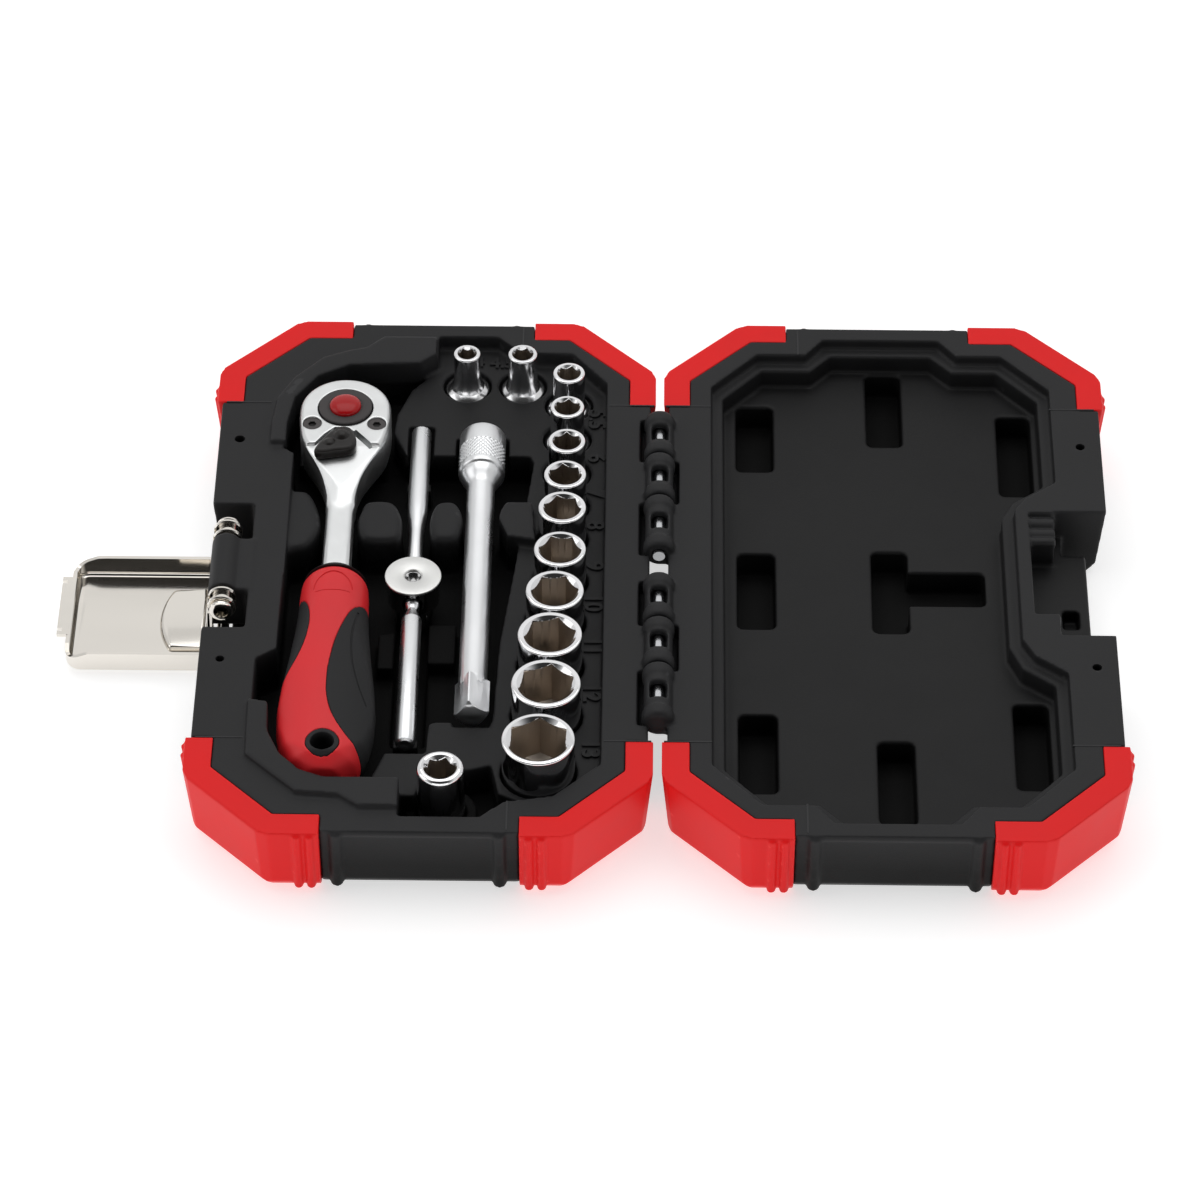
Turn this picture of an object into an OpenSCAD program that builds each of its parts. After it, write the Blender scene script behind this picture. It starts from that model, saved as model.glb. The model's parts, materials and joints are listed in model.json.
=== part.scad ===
// Folding tool case holding a quarter-inch drive socket set.
// Two blow-moulded halves lie open, side by side, on their outer faces.
// Units are millimetres. X runs across both halves, Y runs from front to back, Z is up.
// The pieces are drawn with the hinge axis on the line x = 0 and then moved by place(),
// so that the middle of the underside of the base half is the origin.

/* [Case] */
// width of one half from its hinge edge to its outer edge
half_w = 110; // [109:0.5:112]
// depth of one half from front to back
half_d = 185; // [184:0.5:188]
// height of one half
half_h = 21; // [20.5:0.25:22]
// leg of the cut-off corner
corner = 19; // [17:0.5:21]
// how far each side wall leans in by the bottom
draft = 1.7; // [1:0.1:2.2]
// how far the corner guards stand out from the case
guard_proud = 1.2; // [0.8:0.1:1.4]
// width of the guard flange seen on the rim
guard_flange = 5.5; // [4.5:0.1:6]

/* [Hinge] */
// radius of the hinge knuckles
knuckle_r = 3.5; // [3.2:0.1:3.7]
// radius of the steel hinge pins
hinge_pin_r = 1.5; // [1.2:0.1:1.7]

/* [Sockets] */
// length of every socket
socket_len = 25; // [24:0.5:26]
// side of the square drive
drive = 6.35; // [6.2:0.05:6.4]

/* [Ratchet] */
// half width of the ratchet head
head_r = 11.6; // [11.2:0.1:12]
// radius of the red push button
button_r = 4; // [3.6:0.1:4.2]

/* [Bars] */
// radius of the sliding bar
bar_r = 2.5; // [2.3:0.05:2.55]
// radius of the shank of the extension bar
shank_r = 3.5; // [3.2:0.1:3.8]

/* [Latch] */
// half width of the latch plate
latch_half = 18; // [17.4:0.1:18.4]

/* [Hidden] */
$fa = 5;
$fs = 0.5;
gap = 2.2;
outer_x = gap + half_w;
half_y = half_d / 2;
hinge_z = half_h + 0.1;
bottom_round = 2.6;
lean_h = 3.2;
lean_angle = atan(draft / (half_h - lean_h));
floor_z = 7;
tray_z = half_h - 4.5;
well_z = 2.5;
wall_top_z = half_h + 1.5;
panel_z = half_h - 8.5;
lip_z = half_h - 3;
guard_wall = 1;
flange_t = 1.6;
guard_end_x = 33.6;
guard_start_y = 61.3;
eps = 0.01;
// running clearance of a pin or shaft in its bore, on the radius
clearance = 0.06;

// colours
case_black = [0.19, 0.19, 0.20];
guard_red = [0.85, 0.12, 0.13];
chrome = [0.82, 0.83, 0.85];
steel = [0.62, 0.60, 0.57];
rubber_black = [0.08, 0.08, 0.08];

// opening over the pin in the middle of each knuckle
window_w = 4.2;
window_l = 5.6;

// hinge knuckle spans along Y, and whether the lid carries them
knuckles = [
  [40.0, 55.5, true],
  [24.2, 39.6, false],
  [5.0, 23.8, true],
  [-20.4, -5.0, true],
  [-36.6, -20.8, false],
  [-55.5, -37.0, true]
];

// latch
pin_a_x = -107.7;
pin_a_z = 19.5;
pin_a_r = 2.5;
pin_b_x = -108.5;
pin_b_z = 4.6;
pin_b_r = 1.5;
notch_y = 22.5;
notch_x = 101.5;
ear_y = 10.2;
ear_len = 4.2;
plate_x = -147.2;
plate_t = 1;
plate_flange_h = 6.5;

// ratchet
head_x = -80.2;
head_y = 55.5;
head_bottom = 13;
head_top = 24.5;
grip_z = 16.5;
lever_x = -80.8;
lever_y = 44.4;
neck_half = 3.6;
neck_z = 13.8;
neck_h = 6.4;
screw_dx = 8.2;
screw_dy = -6;
screw_head_r = 2.3;
screw_shank_r = 0.9;
spindle_r = 1.5;
stem_r = 1.3;
hang_y = -66;
hang_bush_r = 4.05;

// sliding bar and extension bar
bar_x = -60.9;
bar_z = 16;
t_head_y = -2.6;
ext_x = -45.1;
ext_z = 17.5;
ext_turn = 36;
ext_end_room = 4.8;
ball_y = -44.4;

// spring balls of the three male squares
ball_r = 1.6;
ball_room_r = 1.65;
ball_offset = 1.9;

// sockets: size across the flats, body diameter, drive end diameter, x, y
socket_list = [
  [4, 6.8, 11.4, -49.7, 73.8],
  [4.5, 7.4, 11.4, -35.4, 73.8],
  [5, 8.1, 11.4, -23.4, 66.5],
  [5.5, 8.6, 11.4, -23.6, 53.3],
  [6, 9.4, 11.4, -23.5, 40.2],
  [7, 10.6, 11.4, -23.7, 27.6],
  [8, 11.9, 11.9, -24.2, 15.2],
  [9, 12.9, 12.9, -24.5, -0.2],
  [10, 14.3, 14.3, -25.5, -15.2],
  [11, 15.7, 15.3, -26.4, -30.9],
  [12, 16.8, 15.8, -27.0, -48.2],
  [13, 17.6, 16.4, -28.5, -67.4]
];
adapter_x = -51.6;
adapter_y = -76.0;
adapter_r = 5.7;

// moves a piece from the hinge axis to the origin on the base's underside
module place() {
  translate([gap + half_w / 2, 0, 0]) children();
}

// ---------- shapes shared by both halves (drawn for the lid, at positive x) ----------

// outline of one half, grown or shrunk parallel to itself
module outline(grow) {
  leg = corner + grow * (2 - sqrt(2));
  x0 = gap - grow;
  x1 = outer_x + grow;
  y1 = half_y + grow;
  polygon([
    [x0, -y1 + leg], [x0 + leg, -y1], [x1 - leg, -y1], [x1, -y1 + leg],
    [x1, y1 - leg], [x1 - leg, y1], [x0 + leg, y1], [x0, y1 - leg]
  ]);
}

// one solid half with leaning walls and a worn-in bottom edge
module half_block(grow) {
  hull() {
    linear_extrude(eps) outline(grow - draft - bottom_round);
    translate([0, 0, lean_h]) linear_extrude(eps) outline(grow - draft);
    translate([0, 0, half_h - eps]) linear_extrude(eps) outline(grow);
  }
}

// box that holds one corner guard
module corner_box(outer, rear) {
  x0 = outer ? outer_x + guard_proud - guard_end_x : -2;
  y0 = rear ? guard_start_y : -guard_start_y - 40;
  translate([x0, y0, -1]) cube([guard_end_x + 1 + (outer ? 4 : 0), 40, half_h + 3]);
}

// room that the four guards take from a half
module guard_room() {
  difference() {
    union() {
      corner_box(true, true);
      corner_box(true, false);
      corner_box(false, true);
      corner_box(false, false);
    }
    intersection() {
      half_block(-guard_wall);
      translate([-5, -150, -1]) cube([200, 300, half_h - flange_t + 1]);
    }
    translate([0, 0, -2]) linear_extrude(half_h + 6) outline(-guard_flange);
  }
}

// upright half-round rib on a front or back wall, leaning with the wall
module rib_y(x, y, r, s) {
  translate([x, y, half_h - 0.6])
    rotate([s * -lean_angle, 0, 0])
      translate([0, 0, -(half_h - 2.2)]) cylinder(r = r, h = half_h - 2.2);
}

// the same on an outer side wall
module rib_x(x, y, r) {
  translate([x, y, half_h - 0.6])
    rotate([0, lean_angle, 0])
      translate([0, 0, -(half_h - 2.2)]) cylinder(r = r, h = half_h - 2.2);
}

// one corner guard of the lid, at positive x
module guard(outer, rear) {
  s = rear ? 1 : -1;
  y1 = s * (half_y + guard_proud);
  x_end = outer ? outer_x + guard_proud - guard_end_x : -1 - guard_proud + gap + guard_end_x - 1;
  d = outer ? 1 : -1;
  difference() {
    union() {
      intersection() {
        half_block(guard_proud);
        corner_box(outer, rear);
      }
      rib_y(x_end + d * 2.3, y1 - s * 0.2, 1.1, s);
      rib_y(x_end + d * 5.3, y1 - s * 0.2, 1.1, s);
      if (outer) {
        rib_x(outer_x + guard_proud - 0.2, s * (guard_start_y + 2.3), 1.1);
        rib_x(outer_x + guard_proud - 0.2, s * (guard_start_y + 5.3), 1.1);
      }
    }
    intersection() {
      half_block(-guard_wall);
      translate([-5, -150, -1]) cube([200, 300, half_h - flange_t + 1]);
    }
    translate([0, 0, -2]) linear_extrude(half_h + 6) outline(-guard_flange);
  }
}

// barrels of the hinge that belong to one half
module barrels(for_lid) {
  for (k = knuckles)
    if (k[2] == for_lid) {
      translate([0, k[0], hinge_z]) rotate([-90, 0, 0]) cylinder(r = knuckle_r, h = k[1] - k[0]);
      translate([0, k[0], hinge_z - knuckle_r]) cube([gap + 2.4, k[1] - k[0], knuckle_r - 0.1]);
    }
}

// pockets that clear the barrels of the other half
module barrel_pockets(for_lid) {
  for (k = knuckles)
    if (k[2] != for_lid)
      translate([0, k[0] - 0.3, hinge_z]) {
        rotate([-90, 0, 0]) cylinder(r = knuckle_r + 0.5, h = k[1] - k[0] + 0.6);
        translate([for_lid ? -2 : -knuckle_r - 1.4, 0, -knuckle_r - 1])
          cube([knuckle_r + 3.4, k[1] - k[0] + 0.6, 12]);
      }
}

// bores for the pins and the windows over them
module barrel_bores(for_lid) {
  for (k = knuckles)
    if (k[2] == for_lid) {
      translate([0, k[0] - 1, hinge_z])
        rotate([-90, 0, 0]) cylinder(r = hinge_pin_r + clearance, h = k[1] - k[0] + 2);
      translate([-window_w / 2, (k[0] + k[1] - window_l) / 2, hinge_z])
        cube([window_w, window_l, 6]);
    }
}

// ---------- base half ----------

// edge of the open space in the base, seen from above
module base_space() {
  polygon([
    [-13.6, -69], [-13.6, 70], [-22.5, 81.5], [-36, 82], [-42, 88], [-57.5, 88],
    [-57.5, 80], [-62, 76.5], [-80, 75.5], [-88, 71], [-94, 62], [-95.5, 52], [-95.5, 44],
    [-92.8, 42], [-92.8, 6], [-93.2, -30], [-98, -33.5], [-98, -49], [-94.6, -50],
    [-94.2, -60], [-91, -68], [-86, -73.5], [-80, -76], [-61.5, -76], [-61.5, -87],
    [-42, -87], [-36.5, -82], [-25, -80]
  ]);
}

// raised wall that curves round the ratchet head
module head_wall() {
  polygon([
    [-58, 86.5], [-58, 79.5], [-62, 76], [-80, 75], [-88, 70.5], [-93.5, 62], [-95, 52],
    [-95, 45], [-99, 45], [-99, 52], [-98, 62], [-94, 70], [-87, 78], [-80, 81],
    [-76, 82], [-71.5, 86.5]
  ]);
}

// raised wall round the end of the ratchet handle
module handle_wall() {
  polygon([
    [-99, -49], [-94.2, -50], [-93.7, -60], [-90.5, -67.5], [-85.5, -73], [-79.5, -75.5],
    [-61.5, -75.5], [-61.5, -85], [-71, -85], [-76, -81.3], [-86, -80.5], [-98.7, -68]
  ]);
}

// higher shelf that carries the sockets
module shelf() {
  polygon([
    [-13, -71], [-13, 71], [-22, 82.5], [-36, 83], [-42, 89], [-58, 89], [-58, 79],
    [-64, 72], [-67.5, 62], [-68, 55], [-64.5, 46.5], [-33, 46.5], [-32, 44], [-36, 4],
    [-39, -23], [-40.5, -62], [-38, -75], [-25, -81.5]
  ]);
}

// finger rest standing between the tools
module rest(points, top) {
  translate([0, 0, floor_z - 1]) linear_extrude(top - floor_z + 1) polygon(points);
}

module base_shell() {
  color(case_black) place()
  difference() {
    union() {
      difference() {
        mirror([1, 0, 0]) half_block(0);
        mirror([1, 0, 0]) guard_room();
        translate([0, 0, floor_z]) linear_extrude(half_h) base_space();
      }
      intersection() {
        translate([0, 0, floor_z - 1]) linear_extrude(tray_z - floor_z + 1) shelf();
        mirror([1, 0, 0]) half_block(-4);
      }
      translate([0, 0, half_h - 6]) linear_extrude(wall_top_z - half_h + 6) head_wall();
      translate([0, 0, half_h - 6]) linear_extrude(wall_top_z - half_h + 6) handle_wall();
      rest([[-94, 29], [-88.2, 29], [-85.8, 22.6], [-85.2, 15.8], [-87.2, 10], [-94, 8]], 19.5);
      rest([
        [-73.4, 25.8], [-67.3, 25.8], [-65, 21.8], [-64.6, 17], [-65.6, 12], [-73.6, 12],
        [-75.5, 17.5], [-74.8, 22.6]
      ], 19.5);
      rest([
        [-55.4, 25.8], [-51.4, 25.8], [-50, 21.8], [-50, 17], [-51, 12.6], [-56.1, 12.6],
        [-57.4, 17.8], [-56.9, 23]
      ], 19.5);
      rest([[-38.4, 26], [-32, 26], [-31, 12], [-37.8, 13.4], [-40.2, 19.8], [-39.8, 23]], 19.5);
      rest([[-69.2, -15], [-64.9, -14], [-64.9, -27], [-69.2, -27]], 11.4);
      rest([[-57, -11], [-50, -11], [-50, -25], [-57, -25]], 11.4);
      // raised steps beside the bit adapter
      rest([
        [-55.4, -51.4], [-53.8, -50.8], [-38.6, -50.8], [-37.3, -52], [-37.3, -64.5],
        [-45, -67], [-56, -68]
      ], tray_z);
      rest([[-65.7, -61.4], [-55, -61.4], [-55, -76], [-71, -76], [-69, -71]], tray_z);
      translate([adapter_x, adapter_y, 1]) cylinder(r = 8.6, h = 10);
      // low saddles under the tools
      rest([[-77, 30], [-77, 33], [-84, 33], [-84, 30]], head_bottom - 0.05);
      rest([[-74, -40], [-74, -36], [-87, -36], [-87, -40]], grip_z - 8.55);
      rest([[-72, 64], [-72, 46], [-70, 46], [-70, 64]], head_bottom - 0.05);
      rest([[-92, 64], [-92, 46], [-89, 46], [-89, 64]], head_bottom - 0.05);
      rest([[-64, 36], [-64, 39], [-58, 39], [-58, 36]], bar_z - bar_r - 0.05);
      rest([[-64, -57], [-64, -54], [-58, -54], [-58, -57]], bar_z - bar_r - 0.05);
      rest([[-48, 20], [-48, 23], [-42, 23], [-42, 20]], ext_z - shank_r - 0.05);
      rest([[-48, -33], [-48, -30], [-42, -30], [-42, -33]], ext_z - shank_r - 0.05);
      // ribs beside the guards on the front and back walls
      for (x = [-76, -37.3])
        for (s = [1, -1])
          rib_y(x, s * (half_y - 0.3), 1.6, s);
      barrels_of_base();
    }
    // sockets stand in these wells
    for (s = socket_list)
      translate([s[3], s[4], well_z]) cylinder(r = s[2] / 2 + 0.6, h = 30);
    for (s = socket_list)
      if (s[1] > s[2])
        translate([s[3], s[4], well_z + 5]) cylinder(r = s[1] / 2 + 0.5, h = 30);
    translate([adapter_x, adapter_y, well_z]) cylinder(r = adapter_r + 0.5, h = 30);
    // wells for the drives, and the track below the sliding head
    translate([head_x, head_y, well_z]) cylinder(r = 8, h = 12);
    translate([-65, -50, well_z + 1]) cube([8.2, 57, 8]);
    // seats cut in the shelf for the bar and for the socket end of the extension
    translate([bar_x, 44, bar_z]) rotate([-90, 0, 0]) cylinder(r = bar_r + 0.8, h = 13.5);
    translate([bar_x - bar_r - 0.8, 44, bar_z]) cube([2 * bar_r + 1.6, 13.5, 10]);
    translate([ext_x - 6.7, 30, ext_z - 6.5]) cube([13.4, 23.2, 20]);
    translate([ext_x, -52.4, ext_z]) rotate([-90, 0, 0]) cylinder(r = ext_end_room, h = 6);
    translate([ext_x - ext_end_room, -52.4, ext_z]) cube([2 * ext_end_room, 6, 10]);
    // marks and blind holes in the rim
    for (y = [47, -34])
      translate([-106.8, y, half_h - 6]) cylinder(r = 0.9, h = 10);
    latch_room();
    barrel_pockets(false);
    mirror([1, 0, 0]) barrel_bores(false);
  }
  color(case_black) place() latch_boss();
}

module barrels_of_base() {
  mirror([1, 0, 0]) barrels(false);
}

// space cut into the outer side for the latch
module latch_room() {
  translate([-outer_x - 5, -notch_y, -1])
    cube([outer_x + 5 - notch_x, 2 * notch_y, half_h + 5]);
}

// boss between the two pockets that carries the latch pin
module latch_boss() {
  difference() {
    union() {
      translate([pin_a_x, -9.3, pin_a_z]) rotate([-90, 0, 0]) cylinder(r = 3.7, h = 18.6);
      translate([pin_a_x, -9.3, 9]) cube([7, 18.6, half_h - 9 + 0.4]);
      translate([-111, -9.3, 9]) cube([6, 18.6, 9]);
    }
    translate([pin_a_x, -12, pin_a_z]) rotate([-90, 0, 0]) cylinder(r = pin_a_r, h = 24);
  }
}

// ---------- lid half ----------

// open edge of the lid, seen from above
module lid_space(grow) {
  offset_x0 = 13.2 - grow;
  polygon([
    [offset_x0, -69 - grow * 0.4], [offset_x0, 69 + grow * 0.4],
    [25 - grow * 0.4, 82 + grow], [37.5 - grow * 0.4, 82 + grow], [42 - grow * 0.7, 88 + grow],
    [72 + grow * 0.7, 88 + grow], [76.5 + grow * 0.4, 82 + grow], [88 + grow * 0.4, 82 + grow],
    [99.8 + grow, 69 + grow * 0.4], [99.8 + grow, 33.5 - grow * 0.5],
    [92 + grow, 27.5 - grow * 0.5], [89 + grow, 23], [89 + grow, -24],
    [92 + grow, -30 + grow * 0.5], [99.8 + grow, -36 + grow * 0.5],
    [99.8 + grow, -69 - grow * 0.4], [88 + grow * 0.4, -82 - grow],
    [76.5 + grow * 0.4, -82 - grow], [72 + grow * 0.7, -88 - grow],
    [42 - grow * 0.7, -88 - grow], [37.5 - grow * 0.4, -82 - grow],
    [25 - grow * 0.4, -82 - grow]
  ]);
}

// stiffening pocket in the flat panel
module lid_pocket(x0, y0, x1, y1) {
  r = 1.5;
  translate([x0, y0 + r, 5]) cube([x1 - x0, y1 - y0 - 2 * r, half_h]);
  translate([x0 + r, y0, 5]) cube([x1 - x0 - 2 * r, y1 - y0, half_h]);
  for (x = [x0 + r, x1 - r])
    for (y = [y0 + r, y1 - r])
      translate([x, y, 5]) cylinder(r = r, h = half_h);
}

module lid_shell() {
  color(case_black) place()
  difference() {
    union() {
      difference() {
        half_block(0);
        guard_room();
        translate([0, 0, lip_z]) linear_extrude(half_h) lid_space(0);
        translate([0, 0, panel_z]) linear_extrude(half_h) lid_space(-3);
      }
      for (x = [37.3, 76])
        for (s = [1, -1])
          rib_y(x, s * (half_y - 0.3), 1.6, s);
      barrels(true);
    }
    lid_pocket(19.6, 46, 29, 71);
    lid_pocket(53.2, 56, 62.2, 84);
    lid_pocket(86.5, 37.5, 95.2, 68);
    lid_pocket(19.6, -12.5, 29, 15);
    lid_pocket(53.2, -13.5, 62.2, 16);
    lid_pocket(60, -3.5, 81.4, 8.6);
    lid_pocket(19.6, -70, 29, -43);
    lid_pocket(53.2, -80, 62.2, -52);
    lid_pocket(86.5, -68, 95.2, -38.5);
    // recess in the outer side that takes the latch
    translate([98.7, -notch_y, panel_z]) cube([20, 2 * notch_y, half_h]);
    // the rim is cut down between two lugs beside that recess
    translate([92.6, -15, panel_z]) cube([8, 26.5, half_h]);
    translate([107, -notch_y, -1]) cube([10, 2 * notch_y, half_h + 2]);
    translate([101, 15.5, -1]) cube([15, notch_y - 15.5, half_h + 2]);
    translate([101, -notch_y, -1]) cube([15, notch_y - 15.5, half_h + 2]);
    translate([100.2, -11.5, panel_z - 4]) cube([4, 6.5, 10]);
    for (y = [47, -34])
      translate([106.8, y, half_h - 6]) cylinder(r = 0.9, h = 10);
    barrel_pockets(true);
    barrel_bores(true);
  }
}

// ---------- corner guards ----------

module guard_lid_rear_outer() { color(guard_red) place() guard(true, true); }
module guard_lid_rear_inner() { color(guard_red) place() guard(false, true); }
module guard_lid_front_outer() { color(guard_red) place() guard(true, false); }
module guard_lid_front_inner() { color(guard_red) place() guard(false, false); }
module guard_base_rear_outer() { color(guard_red) place() mirror([1, 0, 0]) guard(true, true); }
module guard_base_rear_inner() { color(guard_red) place() mirror([1, 0, 0]) guard(false, true); }
module guard_base_front_outer() { color(guard_red) place() mirror([1, 0, 0]) guard(true, false); }
module guard_base_front_inner() { color(guard_red) place() mirror([1, 0, 0]) guard(false, false); }

// ---------- hinge pins ----------

module hinge_pin(y0, y1) {
  color(steel) place()
  translate([0, y0, hinge_z]) rotate([-90, 0, 0]) {
    cylinder(r = hinge_pin_r, h = y1 - y0);
    cylinder(r1 = hinge_pin_r - 0.3, r2 = hinge_pin_r + 0.02, h = 0.3);
  }
}

module hinge_pin_rear() { hinge_pin(4.2, 55.2); }
module hinge_pin_front() { hinge_pin(-55.2, -4.2); }

// ---------- latch ----------

// hollow pin through the boss of the base, with a collar outside each ear
module latch_pin() {
  color(steel) place()
  translate([pin_a_x, 0, pin_a_z]) rotate([90, 0, 0])
  difference() {
    union() {
      translate([0, 0, -16]) cylinder(r = pin_a_r, h = 32);
      translate([0, 0, -16]) cylinder(r = pin_a_r + 0.5, h = 1.2);
      translate([0, 0, 14.8]) cylinder(r = pin_a_r + 0.5, h = 1.2);
    }
    translate([0, 0, 8]) cylinder(r = pin_a_r - 0.8, h = 20);
    translate([0, 0, -28]) cylinder(r = pin_a_r - 0.8, h = 20);
  }
}

// bent link with a curled ear at each upper end and at each lower end
module latch_link() {
  strap_x = -111.1;
  strap_t = 1.1;
  color(steel) place()
  difference() {
    union() {
      for (s = [1, -1]) {
        translate([pin_a_x, s > 0 ? ear_y : -ear_y - ear_len, pin_a_z])
          rotate([-90, 0, 0]) cylinder(r = pin_a_r + 1.1, h = ear_len);
        translate([pin_b_x, s > 0 ? ear_y : -ear_y - ear_len, pin_b_z])
          rotate([-90, 0, 0]) cylinder(r = pin_b_r + 1.3, h = ear_len);
        translate([strap_x, s > 0 ? ear_y : -ear_y - ear_len, pin_b_z])
          cube([strap_t, ear_len, pin_a_z - pin_b_z]);
      }
      translate([strap_x, -ear_y - ear_len, pin_b_z - 0.5])
        cube([strap_t, 2 * (ear_y + ear_len), 4]);
    }
    translate([pin_a_x, -30, pin_a_z])
      rotate([-90, 0, 0]) cylinder(r = pin_a_r + clearance, h = 60);
    translate([pin_b_x, -30, pin_b_z])
      rotate([-90, 0, 0]) cylinder(r = pin_b_r + clearance, h = 60);
  }
}

// pressed steel plate with side flanges, an end lip with a finger tab, and a raised field
module latch_plate() {
  x_end = plate_x;
  t = plate_t;
  h = plate_flange_h;
  x_bend = -112.6;
  x_ear = -106;
  // raised field with one bulging side
  boss_x = -103.4;
  boss_r = 21.4;
  boss_half = 10.8;
  color(steel) place()
  difference() {
    union() {
      translate([x_end, -latch_half, 0.2]) cube([x_bend - x_end, 2 * latch_half, t]);
      for (s = [1, -1])
        translate([x_end + 1, s > 0 ? latch_half - t : -latch_half, 0.2])
          rotate([90, 0, 0]) mirror([0, 0, 1]) linear_extrude(t)
            polygon([
              [0, 0], [x_bend - x_end - 1, 0], [x_ear - x_end - 1, 2.4],
              [x_ear - x_end - 1, h], [5, h], [0, 4.2]
            ]);
      translate([x_end, -latch_half, 0.2]) cube([t, 2 * latch_half, 5.2]);
      translate([x_end, -14, 0.2]) cube([t, 28, 7.3]);
      translate([x_end - 2.4, -10.5, 6.5]) cube([3.4, 21, 1]);
      intersection() {
        translate([boss_x, 0, 0.7]) cylinder(r = boss_r, h = 0.75);
        translate([boss_x - boss_r - 1, -boss_half, 0])
          cube([x_bend - boss_x + boss_r + 1, 2 * boss_half, 4]);
      }
    }
    translate([pin_b_x, -30, pin_b_z]) rotate([-90, 0, 0]) cylinder(r = pin_b_r, h = 60);
    translate([x_end - 4, 8.2, 6]) cube([2.8, 1, 3]);
    translate([x_end - 4, -9.2, 6]) cube([2.8, 1, 3]);
    translate([x_bend - eps, -20, 0]) cube([10, 40, 1.3]);
  }
}

module latch_plate_pin() {
  color(steel) place()
  translate([pin_b_x, 0, pin_b_z]) rotate([90, 0, 0]) {
    translate([0, 0, -latch_half - 0.6]) cylinder(r = pin_b_r, h = 2 * latch_half + 1.2);
    translate([0, 0, latch_half]) cylinder(r = pin_b_r + 0.5, h = 0.6);
    translate([0, 0, -latch_half - 0.6]) cylinder(r = pin_b_r + 0.5, h = 0.6);
  }
}

// ---------- ratchet ----------

// head outline, seen from above, centred on the drive
module head_outline() {
  circle(r = head_r);
  polygon([
    [-11.45, 1], [-11.5, -6], [-10.6, -11], [-9.1, -14.5], [-7.4, -17.5], [-6, -20.5],
    [-4.9, -23.5], [-4.2, -26.5], [-3.7, -31], [3.7, -31], [4.2, -26.5], [4.9, -23.5],
    [6, -20.5], [7.4, -17.5], [9.1, -14.5], [10.6, -11], [11.5, -6], [11.45, 1]
  ]);
}

// flat tang between the head and the inside of the grip
module tang() {
  translate([head_x - neck_half, -36, neck_z]) cube([2 * neck_half, 64, neck_h]);
}

module ratchet_body() {
  color(chrome) place()
  difference() {
    union() {
      translate([head_x, head_y, head_bottom])
        linear_extrude(head_top - head_bottom) head_outline();
      tang();
    }
    // stepped-down front of the head, in front of the reversing lever
    translate([0, 0, head_top - 1.6]) linear_extrude(5)
      polygon([
        [-101, 39], [-88.8, 39], [-85, 45.2], [-82.6, 48.1], [-79.4, 48.1], [-77.3, 45.8],
        [-73, 39], [-60, 39], [-60, 20], [-101, 20]
      ]);
    translate([head_x - 10, 20, neck_z + neck_h]) cube([20, 7.6, 10]);
    translate([head_x - 10, 20, neck_z - 3.8]) cube([20, 4.4, 3.8]);
    // room for the gear, the pawl, the button ring and the drive
    translate([head_x, head_y, 14.5]) cylinder(r = 7.5, h = 7.5);
    translate([head_x, head_y, head_bottom - 1]) cylinder(r = 6.06, h = 4);
    translate([head_x, head_y, 20]) cylinder(r = 6.82, h = 8);
    translate([lever_x, lever_y, 15.5]) cylinder(r = 4.6, h = 5.8);
    translate([lever_x, lever_y, 20]) cylinder(r = spindle_r + clearance, h = 5);
    // screws sit in these
    for (s = [1, -1])
      translate([head_x + s * screw_dx, head_y + screw_dy, head_top - 1.2])
        cylinder(r = screw_head_r, h = 3);
    for (s = [1, -1])
      translate([head_x + s * screw_dx, head_y + screw_dy, head_top - 6])
        cylinder(r = screw_shank_r, h = 8);
  }
}

module ratchet_screw(s) {
  color(rubber_black) place()
  translate([head_x + s * screw_dx, head_y + screw_dy, head_top])
  difference() {
    union() {
      translate([0, 0, -1.2]) cylinder(r = screw_head_r, h = 0.8);
      translate([0, 0, -6]) cylinder(r = screw_shank_r, h = 5);
    }
    translate([0, 0, -1.05]) cylinder(r = 1.1, h = 2, $fn = 6);
  }
}

module ratchet_screw_left() { ratchet_screw(-1); }
module ratchet_screw_right() { ratchet_screw(1); }

// toothed wheel of the ratchet; its upper ring shows in the head
module drive_gear() {
  teeth = 30;
  color(rubber_black) place()
  translate([head_x, head_y, 0])
  difference() {
    union() {
      translate([0, 0, 14.7]) linear_extrude(7.1)
        polygon([
          for (i = [0 : 2 * teeth - 1])
            let (a = i * 180 / teeth, r = i % 2 == 0 ? 7.4 : 6.9)
              [r * cos(a), r * sin(a)]
        ]);
      translate([0, 0, 13.05]) cylinder(r = 6, h = 2);
      translate([0, 0, 21]) cylinder(r = 6.75, h = 3.9);
    }
    translate([0, 0, 17]) cylinder(r = button_r + clearance, h = 10);
    translate([0, 0, 10]) cylinder(r = stem_r + clearance, h = 10);
  }
}

module drive_square() {
  color(chrome) place()
  translate([head_x, head_y, 0])
  difference() {
    translate([-drive / 2, -drive / 2, 4.6]) cube([drive, drive, 8.45]);
    translate([0, 0, 7]) cylinder(r = stem_r + clearance, h = 10);
    translate([0.2, 0, 8.4]) rotate([0, 90, 0]) cylinder(r = ball_room_r, h = 5);
  }
}

module drive_ball() {
  color(steel) place() translate([head_x + ball_offset, head_y, 8.4]) sphere(r = ball_r);
}

module release_button() {
  color(guard_red) place()
  translate([head_x, head_y, 0])
  union() {
    translate([0, 0, 18.7]) cylinder(r = button_r, h = 6.7);
    intersection() {
      translate([0, 0, 20.4]) sphere(r = 6.4);
      translate([0, 0, 24]) cylinder(r = button_r, h = 4);
    }
    translate([0, 0, 11.9]) cylinder(r = stem_r, h = 8);
  }
}

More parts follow.
